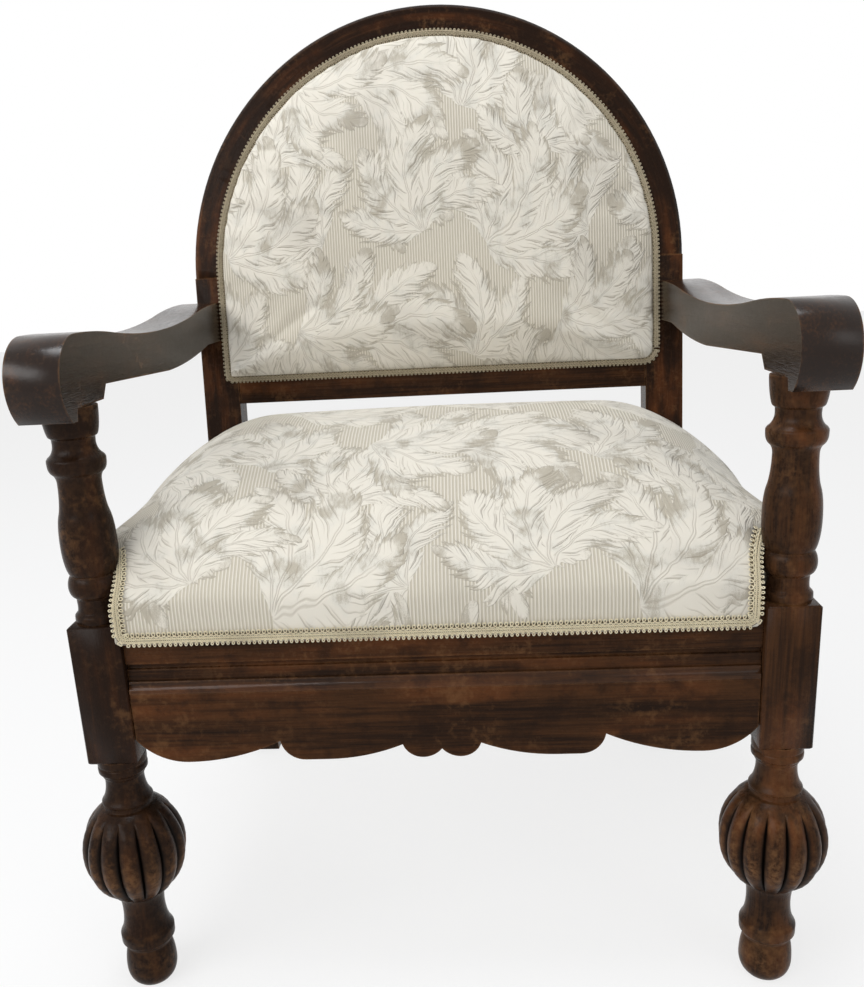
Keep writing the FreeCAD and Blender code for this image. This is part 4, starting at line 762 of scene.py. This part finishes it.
def seat_cushion(material):
    """The stuffed seat: a closed crowned form, blown up a little under its tacked cover."""
    points = []
    rows = [(SEAT_FRONT, level / FRONT_STEPS) for level in range(FRONT_STEPS)]
    rows += [(SEAT_FRONT + (SEAT_REAR - SEAT_FRONT) * (row / (SEAT_ROWS - 1)) ** 1.15, 1)
             for row in range(SEAT_ROWS)]
    rows += [(SEAT_REAR, 1 - level / REAR_STEPS) for level in range(1, REAR_STEPS + 1)]
    for depth, level in rows:
        left = right = seat_half(depth)
        if depth < NOTCH_DEPTH:
            front = depth < -HALF_BLOCK - 0.4
            left = FLAP_LEFT if front else NOTCH_HALF
            right = FLAP_RIGHT if front else NOTCH_HALF - 5
        elif depth > BACK_DEPTH - 4:
            left = right = REAR_HALF
        section = []
        for column in range(SEAT_COLUMNS + 1):
            across = -left + (left + right) * column / SEAT_COLUMNS
            height = seat_height(across, depth)
            near = min(left + across, right - across, depth - SEAT_FRONT + 3, EDGE_ROUND)
            section.append((across, height - (EDGE_ROUND - near) ** 2 / (EDGE_ROUND * 2)))
        walls = [[(across, SKIRT_BOTTOM + (top - SKIRT_BOTTOM) * step / WALL_STEPS)
                  for step in range(WALL_STEPS)]
                 for across, top in ((-left, section[0][1]), (right, section[-1][1]))]
        for across, height in walls[0] + section + walls[1][::-1]:
            points.append(at(across, depth, SKIRT_BOTTOM + (height - SKIRT_BOTTOM) * level))
    columns = SEAT_COLUMNS + 1 + WALL_STEPS * 2
    faces = grid_faces(len(rows), columns)
    base = [row * columns for row in range(len(rows))]
    base += [row * columns + columns - 1 for row in reversed(range(len(rows)))]
    faces.append(tuple(base))
    piece = add_piece("seat_cushion", points, faces, material, "cover")
    stuff(piece, seat_held, 2.5, 0.006, seat_cloth)
    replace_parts(piece, "seat_cover", "seat_pad")


def seat_held(spot):
    """Whether the seat's cover is tacked or pressed at a point, and can't swell there."""
    depth = spot.y / MM - FRONT_AXES
    low = spot.z / MM < BLOCK_TOP + 8
    notch = depth < NOTCH_DEPTH + 10 and abs(spot.x) / MM > NOTCH_HALF - 12
    return low or notch or depth > BACK_DEPTH - 12


# The back

BACK_CROWN = 20
BACK_EDGE = 4.5
BACK_REAR = 3
BACK_REACH_FRONT = 257.0
BACK_LOW_FRONT = 165.0
BACK_RINGS = 40
BACK_MIDDLE = 250
CORNER_LEFT = 5
CORNER_RIGHT = 15
# How many parts the arch's outline has along half its bottom, a corner, a side and the bend.
BOTTOM_STEPS = 24
CORNER_STEPS = 6
SIDE_STEPS = 12
ARCH_STEPS = 72


def half_arch(reach, low, corner):
    """The arched outline's right half: bottom, corner and side, as (across, along) points."""
    points = [((reach - corner) * step / BOTTOM_STEPS, low) for step in range(BOTTOM_STEPS)]
    for step in range(CORNER_STEPS + 1):
        turn = math.pi / 2 * step / CORNER_STEPS
        points.append((reach - corner + corner * math.sin(turn),
                       low + corner - corner * math.cos(turn)))
    for step in range(1, SIDE_STEPS):
        points.append((reach, low + corner + (BOW_RISE - low - corner) * step / SIDE_STEPS))
    return points


def arch_outline(reach, low, left=CORNER_LEFT, right=CORNER_RIGHT):
    """An arched outline in the back's own plane, from the bottom's middle round to the right,
    over the top and down the left side: (across, along) points."""
    points = half_arch(reach, low, right)
    for step in range(ARCH_STEPS + 1):
        turn = math.pi * step / ARCH_STEPS
        points.append((reach * math.cos(turn), BOW_RISE + reach * math.sin(turn)))
    return points + [(-across, along) for across, along in half_arch(reach, low, left)[:0:-1]]


def back_swell(share):
    """The back's crown by the share of the way in from its edge: round near it, then flat."""
    rim = min(1.0, (1 - share) / 0.62)
    return BACK_EDGE + BACK_CROWN * math.sqrt(max(0.0, 1 - (1 - rim) ** 2))


def back_cloth(spot):
    """Where a point of the back's cover lies on its flat cloth."""
    return spot.x + 0.11, spot.z * 1.007 + 0.03


def back_cushion(material):
    """The padded back: a closed arched form, crowned in front."""
    outline = arch_outline(BACK_REACH_FRONT, BACK_LOW_FRONT, CORNER_LEFT - 4, CORNER_RIGHT - 4)
    rings = [(1.0, BACK_REAR)]
    for ring in range(BACK_RINGS):
        share = 1 - ring / BACK_RINGS
        rings.append((share, -back_swell(share)))
    points = [in_back(across * share, behind, BACK_MIDDLE + (along - BACK_MIDDLE) * share)
              for share, behind in rings for across, along in outline]
    columns = len(outline)
    faces = grid_faces(len(rings), columns, closed=True)
    last = BACK_RINGS * columns
    faces += [tuple(range(last, last + columns)), tuple(reversed(range(columns)))]
    piece = add_piece("back_cushion", points, faces, material, "cover")
    stuff(piece, back_held, 1.5, 0.004, back_cloth)
    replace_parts(piece, "back_cover", "back_pad")


def back_held(spot):
    """Whether the back's cover lies on its frame at a point, and can't swell there."""
    depth = spot.y / MM - FRONT_AXES
    rise = spot.z / MM - BLOCK_TOP
    behind = (depth - BACK_DEPTH) * math.cos(RAKE) - rise * math.sin(RAKE)
    return behind > -5


# Braids


def heading(spots, index):
    """The direction of a line of points at one of them."""
    before, after = spots[max(0, index - 1)], spots[min(len(spots) - 1, index + 1)]
    return (after - before).normalized()


def frames_along(places, step):
    """Evenly spaced frames along a line of (point, outward) pairs: point, direction, outward
    and sideways, each that far after the last."""
    frames = []
    travelled = 0.0
    due = 0.0
    for (here, out_here), (there, out_there) in zip(places, places[1:]):
        run = (there - here).length
        while run > 0 and due <= travelled + run:
            share = (due - travelled) / run
            outward = out_here.lerp(out_there, share).normalized()
            frames.append([here.lerp(there, share), None, outward, None])
            due += step
        travelled += run
    spots = [made[0] for made in frames]
    for index, made in enumerate(frames):
        made[1] = heading(spots, index)
        made[3] = made[2].cross(made[1]).normalized()
    return frames


SECTION_SIDES = 5


def strand(frames, course, radius, pitches, steps):
    """Points and faces of one thread that follows a braid's frames. The course gives, for a
    number of pitches, how far the thread lies along, sideways and out from the line."""
    line = []
    for number in range(int(pitches * steps) + 1):
        along, sideways, out = course(number / steps)
        place = min(max(along / BRAID_STEP, 0), len(frames) - 1.001)
        index = int(place)
        here, _, outward, side = frames[index]
        there = frames[index + 1][0]
        line.append((here.lerp(there, place - index) + side * sideways + outward * out, outward))
    points = []
    spots = [spot for spot, _ in line]
    for index, (spot, outward) in enumerate(line):
        direction = heading(spots, index)
        first = direction.cross(outward).normalized()
        second = direction.cross(first)
        for corner in range(SECTION_SIDES):
            turn = math.tau * corner / SECTION_SIDES
            points.append(spot + (first * math.cos(turn) + second * math.sin(turn)) * radius)
    return points, grid_faces(len(line), SECTION_SIDES, closed=True, ends=True)


def tape(frames, half, thickness):
    """Points and faces of the flat tape under a braid's threads."""
    points = []
    for here, _, outward, side in frames:
        points += [here - side * half, here + side * half,
                   here + side * half + outward * thickness,
                   here - side * half + outward * thickness]
    return points, grid_faces(len(frames), 4, closed=True, ends=True)


BRAID_STEP = 0.002
TAPE_THICKNESS = 0.0006


def add_braid(name, node, places, courses, half, materials):
    """A braid along a line of (point, outward) pairs, from its threads' courses. The first
    material is the threads', the second the tape's under them, nearly black as painted shade
    between the threads."""
    frames = frames_along(places, BRAID_STEP)
    length = BRAID_STEP * (len(frames) - 1)
    parts = [tape(frames, half, TAPE_THICKNESS)]
    for course, pitch, steps, radius in courses:
        parts.append(strand(frames, course, radius, length / pitch, steps))
    piece = add_piece(name, *joined(parts), materials[0], "braid", crease=60)
    piece.data.materials.append(materials[1])
    for face in piece.data.polygons[:len(parts[0][1])]:
        face.material_index = 1
    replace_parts(piece, node)


LOOP_PITCH = 0.0046
CORD_PITCH = 0.0036
# A gimp's threads: pitch, sway along it, middle and swing across it, height and lift, phase,
# steps to a pitch, and radius. A chain of upright rings runs along the upper edge, small rings
# hang along the lower one, and two cords of two twisted threads lie between them.
THREADS = [(LOOP_PITCH, 0.0023, 0.0041, 0.0022, 0.0013, 0.0004, 0, 14, 0.00054),
           (LOOP_PITCH, 0.0020, -0.0048, -0.0017, 0.0011, 0, 0, 12, 0.00054)]
THREADS += [(CORD_PITCH, 0, middle, 0.0007, 0.0014, 0.0006, phase, 7, 0.00052)
            for middle in (0.0003, -0.0021) for phase in (0, 0.5)]


def coil(pitch, sway, middle, swing, height, lift, phase):
    """The course of a thread that coils along a braid."""
    def course(turn):
        angle = math.tau * (turn + phase)
        return (turn * pitch - sway * math.sin(angle), middle + swing * math.cos(angle),
                height + lift * math.sin(angle))
    return course


def gimp(share=1, thickness=1, fewer=0):
    """The threads of a gimp, drawn in to a share of its width: course, pitch, steps, radius."""
    return [(coil(pitch, sway, middle * share, swing * share, height, lift, phase), pitch,
             max(6, steps - fewer), radius * thickness)
            for pitch, sway, middle, swing, height, lift, phase, steps, radius in THREADS]


# How far the seat's front braid leans towards the arm's support at each depth of the notch.
NOTCH_LEAN = ((14, 7), (6, 4), (-2, 1.5), (-10, 0), (-17, 0), (-22, 0))
BRAID_CORNER = 5
BRAID_LOW = 370


def seat_braid_side(sign, flap, inset):
    """The seat's front braid from the notch down one side of the flap to its lower corner."""
    places = []
    edge = flap - inset
    for depth, lean in NOTCH_LEAN:
        height = seat_height(NOTCH_HALF, depth) + 0.5
        slope = (seat_height(NOTCH_HALF, depth + 4) - seat_height(NOTCH_HALF, depth - 4)) / 8
        outward = Vector((0.35 * sign, -slope, 1)).normalized()
        across = NOTCH_HALF - 5 + lean + (edge - NOTCH_HALF + 5) * (14 - depth) / 41
        places.append((at(sign * across, depth, height - 1), outward))
    ahead = Vector((0, -1, 0))
    for height in (399, 390, 382):
        places.append((at(sign * edge, SEAT_FRONT - 0.4, height), ahead))
    for step in range(7):
        turn = math.pi / 2 * step / 6
        across = edge - BRAID_CORNER * (1 - math.cos(turn))
        height = BRAID_LOW + BRAID_CORNER * (1 - math.sin(turn))
        places.append((at(sign * across, SEAT_FRONT - 0.4, height), ahead))
    return places


def seat_braid_line():
    """The line of the seat's front braid: down one edge, along the bottom and up the other."""
    return seat_braid_side(-1, FLAP_LEFT, 8) + seat_braid_side(1, FLAP_RIGHT, 4)[::-1]


def back_braid_line(behind, reach, low, outward_sign=-1):
    """The line of a back braid, round the arch."""
    outward = (in_back(0, outward_sign, 0) - in_back(0, 0, 0)).normalized()
    points = arch_outline(reach, low)
    start = BOTTOM_STEPS + CORNER_STEPS
    points = points[start:] + points[:start + 1]
    if outward_sign > 0:
        points.reverse()
    return [(in_back(across, behind, along), outward) for across, along in points]


def side_braid_line(sign):
    """The line of a side braid, along the foot of the skirt."""
    ends = []
    for depth in (HALF_BLOCK + 1, BACK_DEPTH - 1):
        ends.append((at(sign * (seat_half(depth) + 0.2), depth, BRAID_LOW),
                     Vector((sign, 0.03, 0)).normalized()))
    return ends if sign > 0 else ends[::-1]


def rear_braid_line():
    """The line of the braid behind the seat, between the posts."""
    behind = Vector((0, 1, 0))
    return [(at(across, SEAT_REAR + 0.2, BRAID_LOW), behind)
            for across in (REAR_HALF, -REAR_HALF)]


# Straps and sheets


SHEET_RINGS = 12


def thin_sheet(name, node, outline, middle, place, swell, thickness, material, slot):
    """A thin closed sheet inside an outline, drawn as rings about its middle. The swell gives
    how far it stands out at a share of the way to its edge."""
    shares = [1 - ring / SHEET_RINGS for ring in range(SHEET_RINGS)]
    rings = [(share, 0) for share in reversed(shares)] + [(share, thickness) for share in shares]
    points = [place(middle[0] + (first - middle[0]) * share,
                    middle[1] + (second - middle[1]) * share, swell(share) + rise)
              for share, rise in rings for first, second in outline]
    faces = grid_faces(len(rings), len(outline), closed=True, ends=True)
    piece = add_piece(name, points, faces, material, slot)
    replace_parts(piece, node)
    return piece


def spaced_outline(corners, step=18):
    """An outline's corners, with evenly spaced points between them."""
    points = []
    for here, there in zip(corners, corners[1:] + corners[:1]):
        count = max(1, round((Vector(there) - Vector(here)).length / step))
        points += [tuple(Vector(here).lerp(Vector(there), part / count)) for part in range(count)]
    return points


STRAP_HALF = 25
STRAP_THICKNESS = 1
STRAP_STEP = 0.008
LONG_STRAPS = (-184, -92, 0, 92, 184)
CROSS_STRAPS = (67.5, 156.5, 245.5, 334.5)
# Heights of the seat's straps where they lie on the rails or under others, and over others.
STRAP_LOW = 380.1
STRAP_HIGH = 381.3


def add_straps(name, node, lines, material):
    """Flat straps along lines of (point, outward) pairs, as one piece."""
    straps = [tape(frames_along(places, STRAP_STEP), STRAP_HALF * MM, STRAP_THICKNESS * MM)
              for places in lines]
    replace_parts(add_piece(name, *joined(straps), material, "webbing"), node)


def weaving(start, stops, end, first):
    """(place, height) stops of a strap that goes over and under others in turn."""
    line = [(start, STRAP_LOW)]
    for number, stop in enumerate(stops):
        level = STRAP_HIGH if (number + first) % 2 else STRAP_LOW
        line += [(stop - STRAP_HALF, level), (stop + STRAP_HALF, level)]
    return line + [(end, STRAP_LOW)]


def seat_straps(material):
    """The seat's interlaced webbing."""
    up = Vector((0, 0, 1))
    lines = []
    for number, across in enumerate(LONG_STRAPS):
        lines.append([(at(across, depth, height), up)
                      for depth, height in weaving(-10, CROSS_STRAPS, 402, number)])
    for number, depth in enumerate(CROSS_STRAPS):
        lines.append([(at(across, depth, height), up)
                      for across, height in weaving(-284, LONG_STRAPS, 284, number + 1)])
    add_straps("seat_straps", "seat_webbing", lines, material)


def back_straps(material):
    """Three straps up the back, under its cover."""
    outward = (in_back(0, -1, 0) - in_back(0, 0, 0)).normalized()
    lines = []
    for across, top in ((-118, 490), (0, 533), (118, 490)):
        lines.append([(in_back(across, -0.1, along), outward) for along in (170, 350, top)])
    add_straps("back_straps", "back_webbing", lines, material)


# The hessian's outline under the stuffing, cut round the blocks and posts.
SEAT_SACKING = [(-268, -7), (268, -7), (268, 32), (292, 32), (281, 370), (239, 370), (239, 399),
                (-239, 399), (-239, 370), (-281, 370), (-292, 32), (-268, 32)]


def on_back(across, along, behind):
    """A point of a sheet in the raked back."""
    return in_back(across, behind, along)


# Stage, and the whole


LAMP_TARGET = Vector((0, -0.1, 0.5))
WORLD_LIGHT = 0.36
FLOOR_REACH = 8
FLOOR_GREY = 0.86
FLOOR_GLOW = 0.72
GLOW_STRENGTH = 1.05


def add_lamp(name, spot, size, power, colour=(1, 1, 1)):
    """A soft rectangular lamp that shines at the chair."""
    data = bpy.data.lights.new(name, "AREA")
    data.shape = "RECTANGLE"
    data.size, data.size_y = size
    data.color = colour
    data.energy = power
    lamp = add_object(name, data)
    lamp.location = spot
    lamp.rotation_euler = (LAMP_TARGET - Vector(spot)).to_track_quat("-Z", "Y").to_euler()


def camera_ray(tree):
    """1 where the camera, a mirror or glass looks straight at a surface, else 0."""
    node = add_node(tree, "LightPath")
    seen, mirrored, through = [Term(tree, node.outputs["Is %s Ray" % kind])
                               for kind in ("Camera", "Glossy", "Transmission")]
    return seen.math("MAXIMUM", mirrored.math("MAXIMUM", through))


def add_stage():
    """The floor and the world: white where the camera sees them, plain light elsewhere."""
    mesh = bpy.data.meshes.new("floor")
    corners = ((-1, -1), (1, -1), (1, 1), (-1, 1))
    mesh.from_pydata([(x * FLOOR_REACH, y * FLOOR_REACH, 0) for x, y in corners],
                     [], [(0, 1, 2, 3)])
    add_object("floor", mesh)
    material = bpy.data.materials.new("floor")
    material.use_nodes = True
    tree = material.node_tree
    shader = tree.nodes["Principled BSDF"]
    feed(tree, shader.inputs["Base Color"], (FLOOR_GREY, FLOOR_GREY, FLOOR_GREY, 1))
    feed(tree, shader.inputs["Roughness"], 0.9)
    glow = add_node(tree, "Emission", (("Strength", GLOW_STRENGTH),))
    mix = add_node(tree, "MixShader", ((0, camera_ray(tree) * FLOOR_GLOW),
                                       (1, Term(tree, shader.outputs[0])),
                                       (2, Term(tree, glow.outputs[0]))))
    tree.links.new(mix.outputs[0], tree.nodes["Material Output"].inputs["Surface"])
    mesh.materials.append(material)
    world = bpy.data.worlds.new("world")
    world.use_nodes = True
    bpy.context.scene.world = world
    tree = world.node_tree
    background = tree.nodes["Background"]
    feed(tree, background.inputs["Color"], (1, 1, 1, 1))
    strength = camera_ray(tree) * (1 - WORLD_LIGHT) + WORLD_LIGHT
    feed(tree, background.inputs["Strength"], strength)


woods = {grain: wood("oak_" + grain, grain, polish=0.06, depth=depth)
         for grain, depth in (("x", -0.06), ("y", 0.0), ("z", 0.25), ("bow", 0.3))}
arm_oak = wood("arm_oak", "y", red=0.25, worn=1.0, roughness=0.22, polish=0.24, depth=0.25)
bead_oak = wood("bead_oak", "x", roughness=0.19, polish=0.14)
cover = leaf_cloth("leaf_cloth")
# Thread colours: the first is painted shade, the second a painted highlight, mixed along the
# twist.
gimp_thread = thread_material("gold_thread", (0.64, 0.52, 0.30), (0.98, 0.90, 0.68))
# The tape under the gimps' threads: nearly black, as painted shade in the gaps between the
# threads.
painted_shade_tape = thread_material("tape_painted_shade", (0.04, 0.028, 0.012), (0.15, 0.11, 0.05))
back_thread = thread_material("back_thread", (0.22, 0.17, 0.10), (0.66, 0.57, 0.40))
# Weave colours: the first is painted shade between the crossings, the second a painted highlight
# on them.
jute = weave("jute", (0.16, 0.11, 0.06), (0.42, 0.31, 0.18), 0.004)
hessian = ((0.2, 0.145, 0.08), (0.45, 0.35, 0.22), 0.0024)
sacking = weave("sacking", *hessian)
sacking_back = weave("sacking_back", *hessian, "xz")
# The screws also get the thread's painted highlight and shade along a twist.
steel = thread_material("steel", (0.3, 0.3, 0.3), (0.5, 0.5, 0.5))

EDGE_ROUNDING = 0.0009
EASED = ("arm_left", "arm_right", "back_bow", "back_post", "rail", "front_moulding", "front_apron")
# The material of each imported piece: the first whose word is in its name, or oak along x.
CHOICES = (("arm_screw", steel), ("post", woods["z"]), ("screw", woods["z"]), ("arm_", arm_oak),
           ("front_moulding", bead_oak), ("side_rail", woods["y"]), ("back_bow", woods["bow"]),
           ("cover", cover), ("braid", gimp_thread), ("webbing", jute),
           ("seat_hessian", sacking), ("back_hessian", sacking_back))

for name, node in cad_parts.items():
    chosen = next((material for word, material in CHOICES if word in name), woods["x"])
    node.data.materials.clear()
    node.data.materials.append(chosen)
    if any(word in name for word in EASED):
        ease_edges(node, EDGE_ROUNDING)

for side, sign, red, worn, depth in (("left", -1, 0.3, 0.45, 0.38), ("right", 1, 0.9, 0.7, -0.02)):
    oak = wood("turned_oak_" + side, "z", red, worn, carved=True, polish=0.07, depth=depth)
    turned_leg(side, sign, oak)
seat_cushion(cover)
back_cushion(cover)

wide = (gimp(), 0.0045, (gimp_thread, painted_shade_tape))
narrow = (gimp(share=0.7, thickness=0.86, fewer=2), 0.0035, (back_thread, painted_shade_tape))
front_line = back_braid_line(-1.6, BACK_REACH - 5, BACK_LOW + 5)
add_braid("seat_gimp", "seat_braid", seat_braid_line(), *wide)
add_braid("back_gimp", "back_braid", front_line, *narrow)
for side, sign in (("left", -1), ("right", 1)):
    add_braid("side_gimp_" + side, "side_braid_" + side, side_braid_line(sign), *wide)
add_braid("rear_gimp", "rear_braid", rear_braid_line(), *wide)
add_braid("outside_gimp", "outside_back_braid", back_braid_line(35.8, 256, 166, 1), *narrow)

seat_straps(jute)
back_straps(jute)
seat_sacking = thin_sheet("seat_sacking", "seat_hessian", spaced_outline(SEAT_SACKING),
                          (0, 196), at, lambda share: 382.5, 0.6, sacking, "hessian")
back_sacking = thin_sheet("back_sacking", "back_hessian", arch_outline(252, 170, 2, 2),
                          (0, BACK_MIDDLE), on_back, lambda share: -1.9, 0.6, sacking_back,
                          "hessian")
outside_cover = thin_sheet("outside_cover", "outside_back_cover", arch_outline(259, 163, 6, 6),
                           (0, BACK_MIDDLE), on_back,
                           lambda share: 34.1 + 1.6 * (1 - share ** 4), 1.0, cover, "cover")
keep_weave(outside_cover, back_cloth)

add_camera()
add_stage()
add_lamp("key", (-1.9, -2.1, 1.8), (2.4, 1.0), 42)
add_lamp("fill", (1.8, -2.0, 1.6), (1.0, 1.0), 5)
add_lamp("above", (-0.3, -0.3, 2.9), (0.9, 0.9), 31, colour=(0.93, 0.96, 1.0))
bpy.context.scene.view_settings.view_transform = "Standard"
